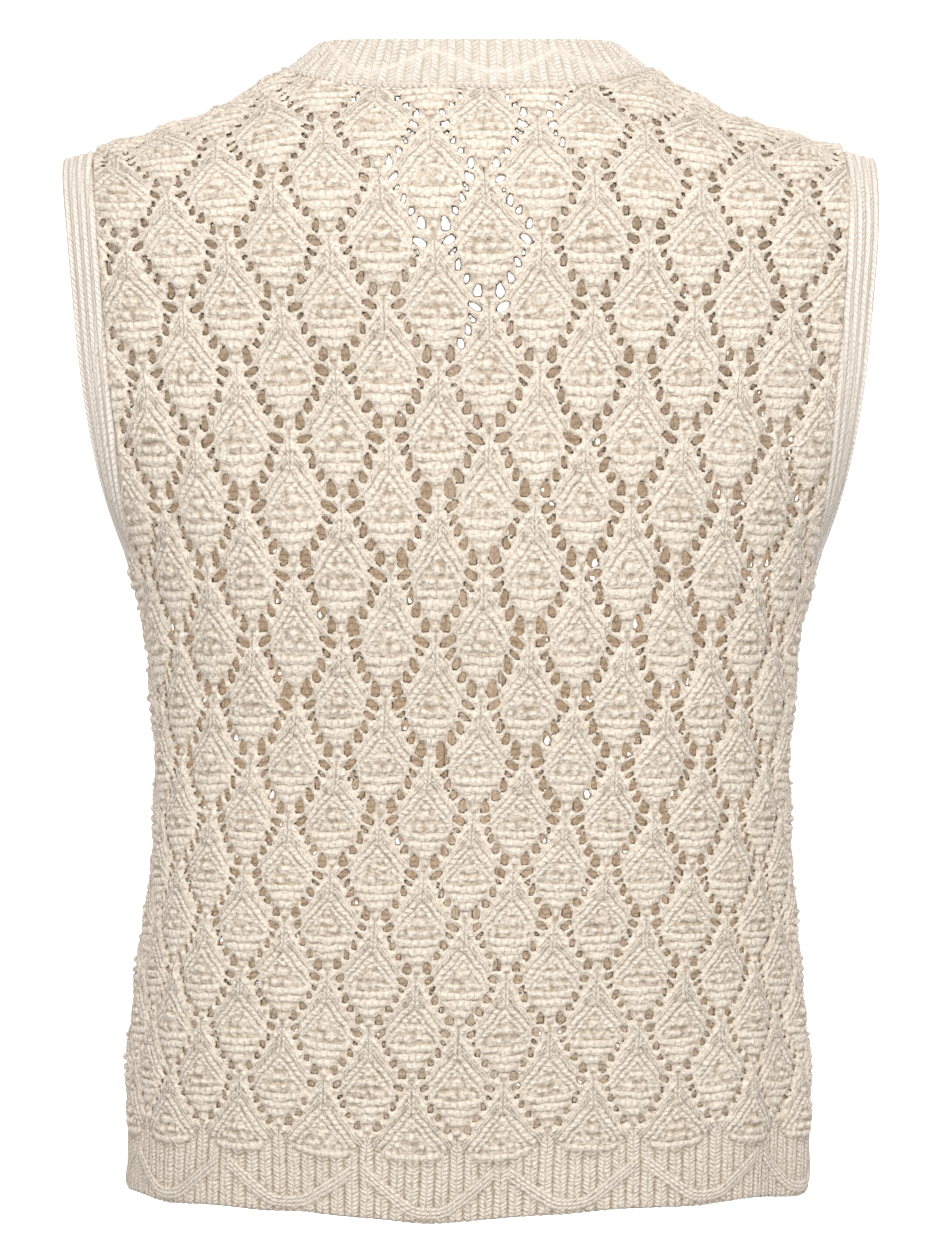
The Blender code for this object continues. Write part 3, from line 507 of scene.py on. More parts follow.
def leaf_relief(aside, below, uc, vc):
    """How far the knitting stands out of the wall inside a leaf, in mm."""
    near = np.abs(aside)
    deep = below - near + wobble(aside + uc, vc + 1 - 2 * below)
    low = 1 - below - near
    rib = ROOF_HEIGHT * cord((deep - ROOF_FROM) / ROOF_STEP)
    for number, height in enumerate(RIB_HEIGHTS):
        rib += height * cord(deep / RIB_STEP - number)
    garter_at = (below + GARTER_SMILE * aside ** 2 - GARTER_TOP) / GARTER_STEP
    garter = GARTER_HEIGHT * cord(garter_at % 1.0) * blend(low / 0.10)
    ground = np.maximum(rib, GROUND_HEIGHT)
    in_garter = blend(garter_at / 0.1 + 0.5)
    relief = ground * (1 - in_garter) + garter * in_garter
    knots = np.zeros_like(below)
    for number, (x, y, wide, high, height) in enumerate(KNOTS):
        x = x + KNOT_SLIP * leaf_chance(uc, vc, 3 * number)
        y = y + KNOT_SLIP * 0.7 * leaf_chance(uc, vc, 3 * number + 1)
        far = ((aside - x) / wide) ** 2 + ((below - y) / high) ** 2
        relief = relief * (0.25 + 0.75 * blend((far - 1.0) / 1.4))
        height = height * (1 + 0.2 * leaf_chance(uc, vc, 3 * number + 2))
        knots = np.maximum(knots, height * np.sqrt(np.clip(1 - far, 0, 1)))
    dome = LEAF_DOME * blend(np.minimum(deep * 0.9, low) / LEAF_DOME_REACH)
    return np.maximum(relief, knots) + dome


# The hem's cable: one of its low turns, its spacing, and the heights that it winds between.
CABLE_START, CABLE_PERIOD, CABLE_LOW, CABLE_HIGH = 17.1, 65.0, -536.5, -516.0
CABLE_HALF, CABLE_STRAND = 2.8, 1.87  # half its width, and the width of one of its strands
CABLE_FLAT, CABLE_BEND = 0.22, 0.02  # how long and how round its low turns are
HEM_RIB_HEIGHT, CABLE_HEIGHT = 0.7, 1.5
HEM_STITCHES = 13.0  # stitches of the hem rib to a leaf row


def winding(turn):
    """Share of a cable's rise, flat at its low turns and pointed at its peaks, and its slope. Then how whole
    it is: it sinks into the ribs at the peaks."""
    saw = np.abs(2 * (turn - np.round(turn)))
    climb = (saw - CABLE_FLAT) / (1 - CABLE_FLAT)
    root = np.sqrt(climb ** 2 + CABLE_BEND)
    full = 1 + math.sqrt(1 + CABLE_BEND)
    return (climb + root) / full, (1 + climb / root) / full / (1 - CABLE_FLAT), 1 - blend((saw - 0.84) / 0.12)


def cable_place(across, up):
    """Distance above the winding hem cable's middle line, in mm, and how whole the cable is there."""
    share, slope, whole = winding((across - CABLE_START) / CABLE_PERIOD)
    line = CABLE_LOW + (CABLE_HIGH - CABLE_LOW) * share + hem_rise(across, HEM_EDGE)
    slope = slope * (CABLE_HIGH - CABLE_LOW) / (CABLE_PERIOD / 2)
    return (up - line) / np.sqrt(1 + slope ** 2), whole


def hem_relief(u, across, up):
    """Ribs of the hem, with the cable of smooth strands that winds over them, in mm."""
    rib = HEM_RIB_HEIGHT * cord((RIB_COUNT * u + 0.5) % 1.0)
    away, whole = cable_place(across, up)
    cover = blend((CABLE_HALF + 0.4 - np.abs(away)) / 0.8) * whole
    round_top = np.sqrt(np.clip(1 - (away / (CABLE_HALF + 0.4)) ** 2, 0, 1))
    return rib * (1 - cover) + CABLE_HEIGHT * round_top * cover


def hem_share(u, v):
    """0 in the lace, 1 in the hem rib: the ribs run up into the lowest leaves."""
    _aside, below, _uc, vc = leaf_place(u, v)
    return np.where(np.round(vc) == -1, blend((below - 0.66) / 0.1), blend((HEM_ROW - v) / 0.2))


# ---------------------------------------------------------------- cutting the flat cloth
def inside(points, outline):
    """Which points lie inside a closed outline."""
    x, y = points[..., 0], points[..., 1]
    hit = np.zeros(x.shape, bool)
    for (x0, y0), (x1, y1) in zip(outline, np.roll(outline, -1, axis=0)):
        if y0 != y1:
            hit ^= ((y0 > y) != (y1 > y)) & (x < (x1 - x0) * (y - y0) / (y1 - y0) + x0)
    return hit


def edge_distance(points, outline, reach):
    """Distance from each point to a closed outline, up to a reach."""
    x, y = points[..., 0], points[..., 1]
    best = np.full(x.shape, reach)
    for (x0, y0), (x1, y1) in zip(outline, np.roll(outline, -1, axis=0)):
        near = (x > min(x0, x1) - reach) & (x < max(x0, x1) + reach)
        near &= (y > min(y0, y1) - reach) & (y < max(y0, y1) + reach)
        if not near.any():
            continue
        px, py = x[near] - x0, y[near] - y0
        wx, wy = x1 - x0, y1 - y0
        t = np.clip((px * wx + py * wy) / max(wx * wx + wy * wy, 1e-9), 0, 1)
        best[near] = np.minimum(best[near], np.hypot(px - t * wx, py - t * wy))
    return best


def eye_list(rows, columns, seed, openness):
    """Every eyelet of the lace over a range: centre in (u, v), half axes, lean, point."""
    random = np.random.default_rng(seed)
    found = []
    for row in range(*rows):
        for number in range(*columns):
            uc = number + (0.5 if row % 2 else 0.0)
            wide, long = smooth_column(EYE_SIZES, 1, row), smooth_column(EYE_SIZES, 2, row)
            for (aside, below, half_wide, half_long, lean, point), share in zip(EYES, openness):
                for hand in (-1, 1):
                    jitter = random.normal(0, 1, 6)
                    size = share * (1 + 0.07 * jitter[5])
                    if row < 0 or share == 0:
                        continue
                    found.append((
                        uc + hand * aside + 0.005 * jitter[0],
                        row + (0.5 - below) * 2 + 0.010 * jitter[1],
                        half_wide * wide * size * (1 + 0.08 * jitter[2]),
                        half_long * long * size * (1 + 0.07 * jitter[3]),
                        hand * math.radians(lean + 5 * jitter[4]), point,
                    ))
    return found


def eye_field(across, up, centre, eye):
    """Signed distance, about right near the edge, to one eyelet: negative inside."""
    _u, _v, half_wide, half_long, lean, point = eye
    x, y = across - centre[0], up - centre[1]
    along = -x * math.sin(lean) + y * math.cos(lean)
    aside = x * math.cos(lean) + y * math.sin(lean)
    wide = half_wide * (1 - point * np.clip(along / half_long, -1, 1))
    reach = np.sqrt((aside / wide) ** 2 + (along / half_long) ** 2)
    return (reach - 1) * min(half_wide, half_long) * 0.9


def flat_grid(form, outline, u_range, v_range, seed, openness):
    """The regular mesh of one stretch of lace, and how far each place is inside the nearest edge."""
    cells = BACK_CELLS if form is BACK else FRONT_CELLS
    u = np.arange(round(u_range[0] * cells[0]), round(u_range[1] * cells[0]) + 1) / cells[0]
    v = np.arange(round(v_range[0] * cells[1]), round(v_range[1] * cells[1]) + 1) / cells[1]
    v = v[(row_up(v) > outline[:, 1].min() - 4) & (row_up(v) < outline[:, 1].max() + 4)]
    grid_u, grid_v = np.meshgrid(u, v)
    across, up = cloth_place(form, grid_u, grid_v)
    spots = np.stack([across, up], axis=-1)
    edge = edge_distance(spots, outline, 6.0)
    field = np.where(inside(spots, outline), edge, -edge)
    rows = (int(v[0]) - 2, int(v[-1]) + 3)
    columns = (int(u[0]) - 2, int(u[-1]) + 3)
    eyes = np.array(eye_list(rows, columns, seed, openness))
    centres = np.stack(cloth_place(form, eyes[:, 0], eyes[:, 1]), axis=-1)
    clear = edge_distance(centres, outline, EYE_CLEAR[form.side]) >= EYE_CLEAR[form.side]
    for eye, centre in zip(eyes[clear], centres[clear]):
        i0, i1 = np.searchsorted(u, (eye[0] - EYE_REACH[0], eye[0] + EYE_REACH[0]))
        j0, j1 = np.searchsorted(v, (eye[1] - EYE_REACH[1], eye[1] + EYE_REACH[1]))
        if i0 == i1 or j0 == j1:
            continue
        part = (slice(j0, j1), slice(i0, i1))
        field[part] = np.minimum(field[part], eye_field(across[part], up[part], centre, eye))
    return grid_u, grid_v, across, up, field


def cut_cells(field, keep=0.22):
    """Triangles of a grid where its field is positive. Returns them with the new points on the zero line, each
    given as (vertex, vertex, share). Points very near the line count as on it."""
    rows, columns = field.shape
    value = field.ravel().copy()
    value[np.abs(value) < keep] = 0.0
    index = np.arange(rows * columns).reshape(rows, columns)
    a, b = index[:-1, :-1].ravel(), index[:-1, 1:].ravel()
    c, d = index[1:, 1:].ravel(), index[1:, :-1].ravel()
    jj, ii = np.divmod(np.arange(len(a)), columns - 1)
    flip = ((ii + jj) % 2 == 0)[:, None]
    first = np.where(flip, np.stack([a, b, c], 1), np.stack([a, b, d], 1))
    second = np.where(flip, np.stack([a, c, d], 1), np.stack([b, c, d], 1))
    triangles = np.concatenate([first, second])
    filled = value[triangles] >= 0
    some = (value[triangles] > 0).any(axis=1)
    whole = triangles[filled.all(axis=1) & some]
    mixed = triangles[some & ~filled.all(axis=1)]
    state = value[mixed] >= 0
    out = [whole]
    pairs = []
    base = rows * columns

    def crossing(inner, outer):
        pairs.append(np.stack([inner, outer], 1))
        start = base + sum(len(p) for p in pairs[:-1])
        return np.arange(start, start + len(inner))

    two = mixed[state.sum(1) == 2]
    state_two = state[state.sum(1) == 2]
    turn = np.argmin(state_two, axis=1)
    rotated = np.stack([two[np.arange(len(two)), (turn + k) % 3] for k in (1, 2, 0)], 1)
    p, q = crossing(rotated[:, 1], rotated[:, 2]), crossing(rotated[:, 0], rotated[:, 2])
    out += [np.stack([rotated[:, 0], rotated[:, 1], p], 1), np.stack([rotated[:, 0], p, q], 1)]
    one = mixed[state.sum(1) == 1]
    state_one = state[state.sum(1) == 1]
    turn = np.argmax(state_one, axis=1)
    rotated = np.stack([one[np.arange(len(one)), (turn + k) % 3] for k in (0, 1, 2)], 1)
    p, q = crossing(rotated[:, 0], rotated[:, 1]), crossing(rotated[:, 0], rotated[:, 2])
    out.append(np.stack([rotated[:, 0], p, q], 1))

    pairs = np.concatenate(pairs)
    share = value[pairs[:, 0]] / (value[pairs[:, 0]] - value[pairs[:, 1]])
    key = pairs.min(1) * (base + 1) + pairs.max(1)
    _, first_at, which = np.unique(key, return_index=True, return_inverse=True)
    new = base + which
    new = np.where(share <= 1e-9, pairs[:, 0], new)
    lookup = np.concatenate([np.arange(base), new])
    faces = lookup[np.concatenate(out)]
    ok = (faces[:, 0] != faces[:, 1]) & (faces[:, 1] != faces[:, 2]) & (faces[:, 0] != faces[:, 2])
    return faces[ok], pairs[first_at], share[first_at]


def cut_sheet(form, outline, u_range, v_range, seed, openness):
    """One stretch of flat lace with its holes: a table of values per point, and triangles."""
    grid_u, grid_v, across, up, field = flat_grid(form, outline, u_range, v_range, seed, openness)
    ribbed = hem_share(grid_u, grid_v)
    relief = leaf_relief(*leaf_place(grid_u, grid_v)) * (1 - ribbed) + hem_relief(grid_u, across, up) * ribbed
    # painted shade: how far each place lies below the mean relief around it, so the hollows are darker
    painted_shade = soften(relief, 4) - relief
    faces, pairs, share = cut_cells(field)

    def carried(grid):
        flat = grid.ravel()
        return np.concatenate([flat, flat[pairs[:, 0]] * (1 - share) + flat[pairs[:, 1]] * share])

    table = {
        "u": carried(grid_u), "v": carried(grid_v), "across": carried(across), "up": carried(up),
        "relief": carried(relief), "painted_shade": carried(painted_shade), "ribbed": carried(ribbed),
        "edge": np.concatenate([np.maximum(field.ravel(), 0.0), np.zeros(len(pairs))]),
    }
    rows, columns = grid_u.shape
    j, i = np.divmod(np.arange(rows * columns), columns)
    regular = np.concatenate([(i % SPARSE == 0) & (j % SPARSE == 0), np.zeros(len(pairs), bool)])
    used, faces = np.unique(faces, return_inverse=True)
    table = {name: value[used] for name, value in table.items()}
    return table, faces.reshape(-1, 3), regular[used]


def soften(grid, reach):
    """A grid averaged over the cells within a reach."""
    for axis in (0, 1):
        total = np.zeros_like(grid)
        for step in range(-reach, reach + 1):
            total += np.roll(grid, step, axis=axis)
        grid = total / (2 * reach + 1)
    return grid


def open_edges(faces):
    """Directed edges that belong to one triangle only."""
    edges = np.concatenate([faces[:, [0, 1]], faces[:, [1, 2]], faces[:, [2, 0]]])
    size = faces.max() + 1
    key = edges[:, 0] * size + edges[:, 1]
    back = edges[:, 1] * size + edges[:, 0]
    return edges[~np.isin(key, back)]


def plain_side(u, v, rim, extra):
    """Few triangles over the same stretch: between the rim's edges, with extra points inside."""
    points = np.concatenate([np.unique(rim), extra])
    place = {int(p): n for n, p in enumerate(points)}
    edges = [(place[int(a)], place[int(b)]) for a, b in rim]
    spots = [Vector((u[p] * LEAF_SIZE[0], v[p] * LEAF_SIZE[1])) for p in points]
    _, _, faces, sources, _, _ = delaunay_2d_cdt(spots, edges, [], 0, 1e-6, True)
    order = [points[s[0]] if s else -1 for s in sources]
    faces = [tuple(order[k] for k in face) for face in faces]
    wall = {(int(a), int(b)) for a, b in rim}
    beside = {}
    for number, face in enumerate(faces):
        for a, b in zip(face, face[1:] + face[:1]):
            beside[(a, b)] = number
    kept = {number for edge, number in beside.items() if edge in wall}
    todo = list(kept)
    while todo:
        face = faces[todo.pop()]
        for a, b in zip(face, face[1:] + face[:1]):
            if (a, b) in wall or (b, a) in wall:
                continue
            other = beside.get((b, a))
            if other is not None and other not in kept:
                kept.add(other)
                todo.append(other)
    kept = np.array([faces[n] for n in sorted(kept)])
    return kept[(kept >= 0).all(axis=1)]


# ---------------------------------------------------------------- outlines of the pieces, in (across, up)
STATIONS = 64  # places along half an armhole, and along other curved edges
EDGE_ROUND = 1.3  # mm over which the cloth rounds off at an edge
EDGE_SINK = 2.4  # mm over which the relief sinks towards an edge
THREAD_HEIGHT, THREAD_AT, THREAD_HALF = 0.45, 1.3, 0.8  # the raised thread beside each edge of the lace
HOLLOW_DEPTH = 0.55  # a hollow this deep is fully shaded
RIPPLE = 0.35  # height of the slow ripples in the cloth
INSIDE_CAVITY = 0.35  # how shaded the inner side is, from 0 to 1
FAN_HEIGHT = 6.0  # height of each fan of faces that closes a cut


def inside_armhole(form, width):
    """The armhole's edge moved in by a width. Back and front meet at one place on the shoulder."""
    edge = armhole_line(form, STATIONS)
    line = offset_line(edge, width)
    foot = edge[0][1] - width
    line[0] = (form.seam(foot), foot)
    target = ridge_x(BACK, BACK.armhole(SHOULDER_BEND) - width)[0]
    at = np.linspace(edge[-1][0] - 60.0, edge[-1][0] + 20.0, 161)
    across = float(np.interp(target, ridge_x(form, at), at))
    late = blend(np.linspace(-1.0, 1.0, STATIONS))
    line[:, 0] += (across - line[-1][0]) * late
    line[-1] = (across, form.ridge(across))
    return line


def ridge_x(form, across):
    return form.place(across, SHOULDER_BEND)[:, 0] * SHOULDER_FLARE


def half_outline(form):
    """One half of the cloth, from the hem's outer end up to the neck."""
    arm = inside_armhole(form, ARM_BAND + GAP / 2)
    arm[0][0] -= GAP / 2
    arm[-1][1] = form.ridge(arm[-1][0]) - GAP / 2
    ups = np.linspace(HEM_EDGE, arm[0][1], 60)
    side = np.array([(form.seam(u) - GAP / 2, u) for u in ups])
    top = np.array([(a, form.ridge(a) - GAP / 2) for a in np.linspace(arm[-1][0], neck_across(form), 24)])
    return np.concatenate([side[:-1], arm, top[1:]])


def back_outline():
    half = half_outline(BACK)
    neck = back_neck_line(80)[1:-1] - (0.0, GAP / 2)
    hem = [(a, hem_edge(a)) for a in np.linspace(-half[0][0], half[0][0], 240)[1:-1]]
    return np.concatenate([half, neck[::-1], half[::-1] * (-1, 1), hem])


def hem_edge(across):
    """The hem's lowest edge, which the cable's low turns push out."""
    turn = (across - CABLE_START) / CABLE_PERIOD
    low = HEM_EDGE + float(hem_rise(across, HEM_EDGE))
    return low + HEM_SCALLOP * np.abs(math.sin(math.pi * turn)) ** 1.5 + 0.25 * math.sin(across * 1.9)


def front_outline():
    half = half_outline(FRONT)
    seam = offset_line(front_seam_line(110), -GAP / 2)
    seam[-1][1] -= GAP / 2
    hem = [(a, hem_edge(a)) for a in np.linspace(seam[0][0], half[0][0], 100)[1:-1]]
    return np.concatenate([half, seam[::-1][1:], hem])


# ---------------------------------------------------------------- meshes
def make_object(name, points, faces, uv, painted_shade, smooth, purl, material, normals=None):
    """One mesh from points in mm: uv is per face corner, the amount of painted shade and smooth per point, purl
    per face.
    """
    mesh = bpy.data.meshes.new(name)
    points = np.asarray(points, float) * MM
    faces = np.asarray(faces)
    mesh.vertices.add(len(points))
    mesh.vertices.foreach_set("co", points.ravel())
    size = faces.shape[1]
    mesh.loops.add(faces.size)
    mesh.loops.foreach_set("vertex_index", faces.ravel())
    mesh.polygons.add(len(faces))
    mesh.polygons.foreach_set("loop_start", np.arange(len(faces)) * size)
    mesh.update(calc_edges=True)
    if mesh.validate() or len(mesh.vertices) != len(points) or len(mesh.loops) != faces.size:
        raise ValueError(f"{name}: {len(mesh.loops)} corners left of {faces.size}")
    layer = mesh.uv_layers.new(name="knit")
    layer.data.foreach_set("uv", np.asarray(uv, float).ravel())
    corners = np.repeat(purl, size)
    marks = (("painted_shade", "POINT", painted_shade), ("smooth", "POINT", smooth), ("purl", "CORNER", corners))
    for mark, kind, value in marks:
        layer = mesh.attributes.new(mark, "FLOAT", kind)
        layer.data.foreach_set("value", np.ascontiguousarray(value, dtype=np.float32))
    mesh.shade_smooth()
    if normals is not None:
        mesh.normals_split_custom_set_from_vertices(normals)
    mesh.materials.append(material)
    piece = bpy.data.objects.new(name, mesh)
    bpy.context.collection.objects.link(piece)
    return piece


def point_normals(points, faces):
    """Smooth normals of a triangle mesh."""
    a, b, c = points[faces[:, 0]], points[faces[:, 1]], points[faces[:, 2]]
    flat = np.cross(b - a, c - a)
    total = np.zeros_like(points)
    for k in range(3):
        for axis in range(3):
            total[:, axis] += np.bincount(faces[:, k], flat[:, axis], len(points))
    return total / np.maximum(np.linalg.norm(total, axis=1, keepdims=True), 1e-12)


def wall_share(distance):
    """Half the wall's thickness at a distance from an edge, as a share: the edge is round."""
    return np.sqrt(1 - (1 - np.clip(distance / EDGE_ROUND, 0, 1)) ** 2)


def lace_uv(u, v, across, up, faces):
    """Stitch coordinates of each corner, across a stitch and along it, and which stitch a face has: 0 knit,
    1 purl, 2 rope, 3 pebbled ground."""
    cu, cv = u[faces].mean(axis=1), v[faces].mean(axis=1)
    aside, below, uc, vc = leaf_place(cu, cv)
    near = np.abs(aside)
    corner_aside = u[faces] - uc[:, None]
    corner_below = 0.5 - (v[faces] - vc[:, None]) / 2
    hand = np.sign(aside)[:, None]
    corner_deep = corner_below - hand * corner_aside + wobble(u[faces], v[faces])
    along = (corner_below + hand * corner_aside) * STITCHES_ALONG
    rib = np.stack([corner_deep / RIB_STEP, along], axis=-1)
    roof = np.stack([(corner_deep - ROOF_FROM) / ROOF_STEP, along], axis=-1)
    leaf_number = (uc * 3.7 + vc * 5.3)[:, None]
    ground = [corner_aside * GROUND_PITCH[0] + leaf_number, corner_below * GROUND_PITCH[1]]
    ground = np.stack(ground, axis=-1)
    spine = np.stack([corner_aside * SPINES, corner_below / SPINE_STEP], axis=-1)
    garter_row = (corner_below + GARTER_SMILE * corner_aside ** 2 - GARTER_TOP) / GARTER_STEP
    garter = np.stack([corner_aside * STITCHES_ACROSS, garter_row], axis=-1)
    hem = np.stack([u[faces] * RIB_COUNT + 0.5, v[faces] * HEM_STITCHES], axis=-1)
    away, _ = cable_place(across[faces], up[faces])
    strand = np.stack([away / CABLE_STRAND + 0.5, across[faces] * 0.42], axis=-1)
    garter_from = below + GARTER_SMILE * aside ** 2 - GARTER_TOP
    in_hem = hem_share(cu, cv) > 0.5
    middle, whole = cable_place(across[faces].mean(axis=1), up[faces].mean(axis=1))
    on_cable = (np.abs(middle) < CABLE_HALF) & (whole > 0.5)
    choices = [
        (in_hem & on_cable, strand, 2.0),
        (in_hem, hem, 0.0),
        (garter_from >= 0, garter, 1.0),
        ((near < 0.5 / SPINES) & (below < 0.27), spine, 0.0),
        (below - near < RIB_STEP, rib, 2.0),
        (below - near < 2 * RIB_STEP, rib, 0.0),
        (below - near < 3 * RIB_STEP, rib, 2.0),
        (below - near < ROOF_FROM + ROOF_STEP, roof, 2.0),
    ]
    uv, purl = ground, np.full(len(faces), 3.0)
    for where, place, kind in reversed(choices):
        uv = np.where(where[:, None, None], place, uv)
        purl = np.where(where, kind, purl)
    return uv, purl


def lace_piece(form, side, outline, u_range, v_range, seed, openness):
    """One stretch of cloth, hem rib and lace together, as a closed thin shell."""
    table, faces, regular = cut_sheet(form, outline, u_range, v_range, seed, openness)
    u, v, across, up, edge = (table[name] for name in ("u", "v", "across", "up", "edge"))
    thread = THREAD_HEIGHT * np.exp(-((edge - THREAD_AT) / THREAD_HALF) ** 2) * (1 - table["ribbed"])
    relief = table["relief"] * (0.12 * wall_share(edge) + 0.88 * blend(edge / EDGE_SINK)) + thread
    spots = np.stack([across, up], axis=1)
    lap = overlap(form, side, across, up)
    ripple = wander(u * 0.8 + 3.0, v * 0.6, RIPPLE)[0]
    outer = form.place(across, up, lap + WALL / 2 * wall_share(edge) + relief + ripple)
    rim = open_edges(faces)
    on_rim = np.zeros(len(u), bool)
    on_rim[rim] = True
    inner_faces = plain_side(u, v, rim, np.flatnonzero(regular & ~on_rim & (edge > 1.4)))
    inner_points = np.unique(inner_faces)
    inner_points = inner_points[~on_rim[inner_points]]
    place_of = np.arange(len(u))
    place_of[inner_points] = len(u) + np.arange(len(inner_points))
    inside_out = (lap - WALL / 2 * wall_share(edge) + ripple)[inner_points]
    points = np.concatenate([outer, form.place(across[inner_points], up[inner_points], inside_out)])
    outer_faces = faces[:, ::-1] if form is BACK else faces
    inner_faces = inner_faces if form is BACK else inner_faces[:, ::-1]
    outer_uv, outer_purl = lace_uv(u, v, across, up, outer_faces)
    inner_uv = np.stack([u[inner_faces] * STITCHES_ACROSS, v[inner_faces] * 9.0], axis=-1)
    all_faces = np.concatenate([outer_faces, place_of[inner_faces]])
    _, which, times = np.unique(np.sort(all_faces, axis=1), axis=0, return_inverse=True, return_counts=True)
    single = times[which.ravel()] == 1  # a scrap between rim points only is in both sides, with no thickness
    # painted shade in the relief's hollows, fading out at the edges; the inner side gets an even painted shade
    painted_shade = np.clip(table["painted_shade"] / HOLLOW_DEPTH, 0, 1) * blend(edge / 1.5)
    smooth = (1 - blend((edge - 0.8) / 1.6)) * (1 - table["ribbed"])
    pad = np.zeros(len(inner_points))
    all_faces = all_faces[single]
    return {
        "points": points, "faces": all_faces, "normals": point_normals(points, all_faces),
        "uv": np.concatenate([outer_uv, inner_uv])[single],
        "purl": np.concatenate([outer_purl, np.ones(len(inner_faces))])[single],
        "painted_shade": np.concatenate([painted_shade, pad + INSIDE_CAVITY]),
        "smooth": np.concatenate([smooth, pad]),
        "u": np.concatenate([u, u[inner_points]]),
        "flat": np.concatenate([spots, spots[inner_points]]),
    }


def keep_faces(shell, chosen):
    """Part of a mesh, with the points it needs."""
    used, index = np.unique(shell["faces"][chosen], return_inverse=True)
    part = {name: shell[name][used] for name in ("points", "painted_shade", "smooth", "normals", "flat")}
    part.update({name: shell[name][chosen] for name in ("uv", "purl")})
    part["faces"] = index.reshape(-1, 3)
    return part


def close_cut(part, facing):
    """Fills each wall left open where lace is cut in two, with fans of faces one above the other."""
    faces, size = part["faces"], len(part["points"])
    rim = open_edges(faces)
    if len(rim) == 0:
        return
    used, ends = np.unique(rim, return_inverse=True)
    ends = ends.reshape(-1, 2)
    label = np.arange(len(used))
    while True:
        lower = label.copy()
        for side in (0, 1):
            np.minimum.at(lower, ends[:, side], label[ends].min(axis=1))
        if (lower == label).all():
            break
        label = lower
    level = np.floor(part["flat"][rim][:, :, 1].mean(axis=1) / FAN_HEIGHT).astype(int)
    fans, fan = np.unique(np.stack([label[ends[:, 0]], level], axis=1), axis=0, return_inverse=True)
    fan = fan.ravel()
    middles = [part["points"][rim[fan == number].ravel()].mean(axis=0) for number in range(len(fans))]
    arriving, leaving = (np.argsort(rim[:, end], kind="stable") for end in (0, 1))
    turns = (fan[arriving] != fan[leaving]) & (rim[arriving, 0] == rim[leaving, 1])
    links = np.stack([size + fan[arriving], rim[arriving, 0], size + fan[leaving]], axis=1)[turns]
    added = np.concatenate([np.stack([rim[:, 1], rim[:, 0], size + fan], axis=1), links])
    part["points"] = np.concatenate([part["points"], middles])
    # the fans' middles get full painted shade
    part["painted_shade"] = np.concatenate([part["painted_shade"], np.ones(len(fans))])
    part["smooth"] = np.concatenate([part["smooth"], np.zeros(len(fans))])
    part["normals"] = np.concatenate([part["normals"], [(facing, 0.0, 0.0)] * len(fans)])
    part["faces"] = np.concatenate([faces, added])
    part["uv"] = np.concatenate([part["uv"], np.zeros((len(added), 3, 2))])
    part["purl"] = np.concatenate([part["purl"], np.ones((len(added), *part["purl"].shape[1:]))])


def band_shell(name, grid, relief, uv_scale, material, ring=False, smooth=None, turned=False, shade=0.0):
    """A closed band from a grid on its middle surface, rows along it, with round edges and relief outside."""
    along = (np.roll(grid, -1, axis=0) - np.roll(grid, 1, axis=0)) / 2 if ring else np.gradient(grid, axis=0)
    across = np.gradient(grid, axis=1)
    normal = np.cross(along, across)
    normal /= np.linalg.norm(normal, axis=2, keepdims=True)
    steps = np.linalg.norm(np.diff(grid, axis=1), axis=2)
    place = np.concatenate([np.zeros((len(grid), 1)), np.cumsum(steps, axis=1)], axis=1)
    edge = np.minimum(place, place[:, -1:] - place)
    runs = np.linalg.norm(np.diff(grid, axis=0), axis=2).mean(axis=1)
    length = np.concatenate([[0.0], np.cumsum(runs)])
    if not ring:
        edge = np.minimum(edge, np.minimum(length, length[-1] - length)[:, None])
    share = wall_share(edge)
    outer = grid + normal * (WALL / 2 * share + relief * blend(edge / 2.0))[:, :, None]
    inner = grid - normal * (WALL / 2 * share)[:, :, None]
    rows, columns = grid.shape[:2]
    section = np.concatenate([outer, inner[:, -2:0:-1]], axis=1)
    size = section.shape[1]
    count = rows if ring else rows - 1
    i, j = np.meshgrid(np.arange(count), np.arange(size), indexing="ij")
    n, k = (i + 1) % rows, (j + 1) % size
    quads = np.stack([i * size + j, i * size + k, n * size + k, n * size + j], axis=-1).reshape(-1, 4)
    across_at = np.concatenate([place, place[:, -2:0:-1]], axis=1)
    long_at = np.repeat(length[:, None], size, axis=1)
    u_of = across_at.ravel() * uv_scale[0]
    v_of = long_at.ravel() * uv_scale[1]
    uv = np.stack([v_of[quads], u_of[quads]] if turned else [u_of[quads], v_of[quads]], axis=-1)
    if ring:
        last = quads.reshape(count, size, 4)[-1]
        wrap = uv.reshape(count, size, 4, 2)
        wrap[-1, :, 2:, 1] = (length[-1] + runs.mean()) * uv_scale[1]
        uv = wrap.reshape(-1, 4, 2)
    # painted shade: darker in the hollows between the ribs, plus an even share 'shade' over the whole outer
    # side; the inner side is evenly shaded too
    low = relief.max() * 0.45
    hollow = np.clip((low - relief) / low, 0, 1) * blend(edge / 1.5)
    hollow = shade + (1 - shade) * hollow
    painted_shade = np.concatenate([hollow, np.full((rows, columns - 2), INSIDE_CAVITY)], axis=1)
    calm = np.zeros_like(relief) if smooth is None else smooth
    calm = np.concatenate([calm, np.zeros((rows, columns - 2))], axis=1)
    purl = np.zeros(len(quads))
    piece = make_object(name, section.reshape(-1, 3), quads, uv, painted_shade.ravel(), calm.ravel(), purl, material)
    if not ring:
        shaped = bmesh.new()
        shaped.from_mesh(piece.data)
        bmesh.ops.holes_fill(shaped, edges=[e for e in shaped.edges if e.is_boundary], sides=0)
        shaped.to_mesh(piece.data)
        shaped.free()
        piece.data.shade_smooth()
    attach(piece, "root")
    return piece


# ---------------------------------------------------------------- materials
def node(tree, kind, **settings):
    made = tree.nodes.new(kind)
    for name, value in settings.items():
        setattr(made, name, value)
    return made


def maths(tree, operation, *values, clamp=False):
    """A math node with its inputs linked or set."""
    made = node(tree, "ShaderNodeMath", operation=operation, use_clamp=clamp)
    for number, value in enumerate(values):
        if isinstance(value, (int, float)):
            made.inputs[number].default_value = value
        else:
            tree.links.new(value, made.inputs[number])
    return made.outputs[0]


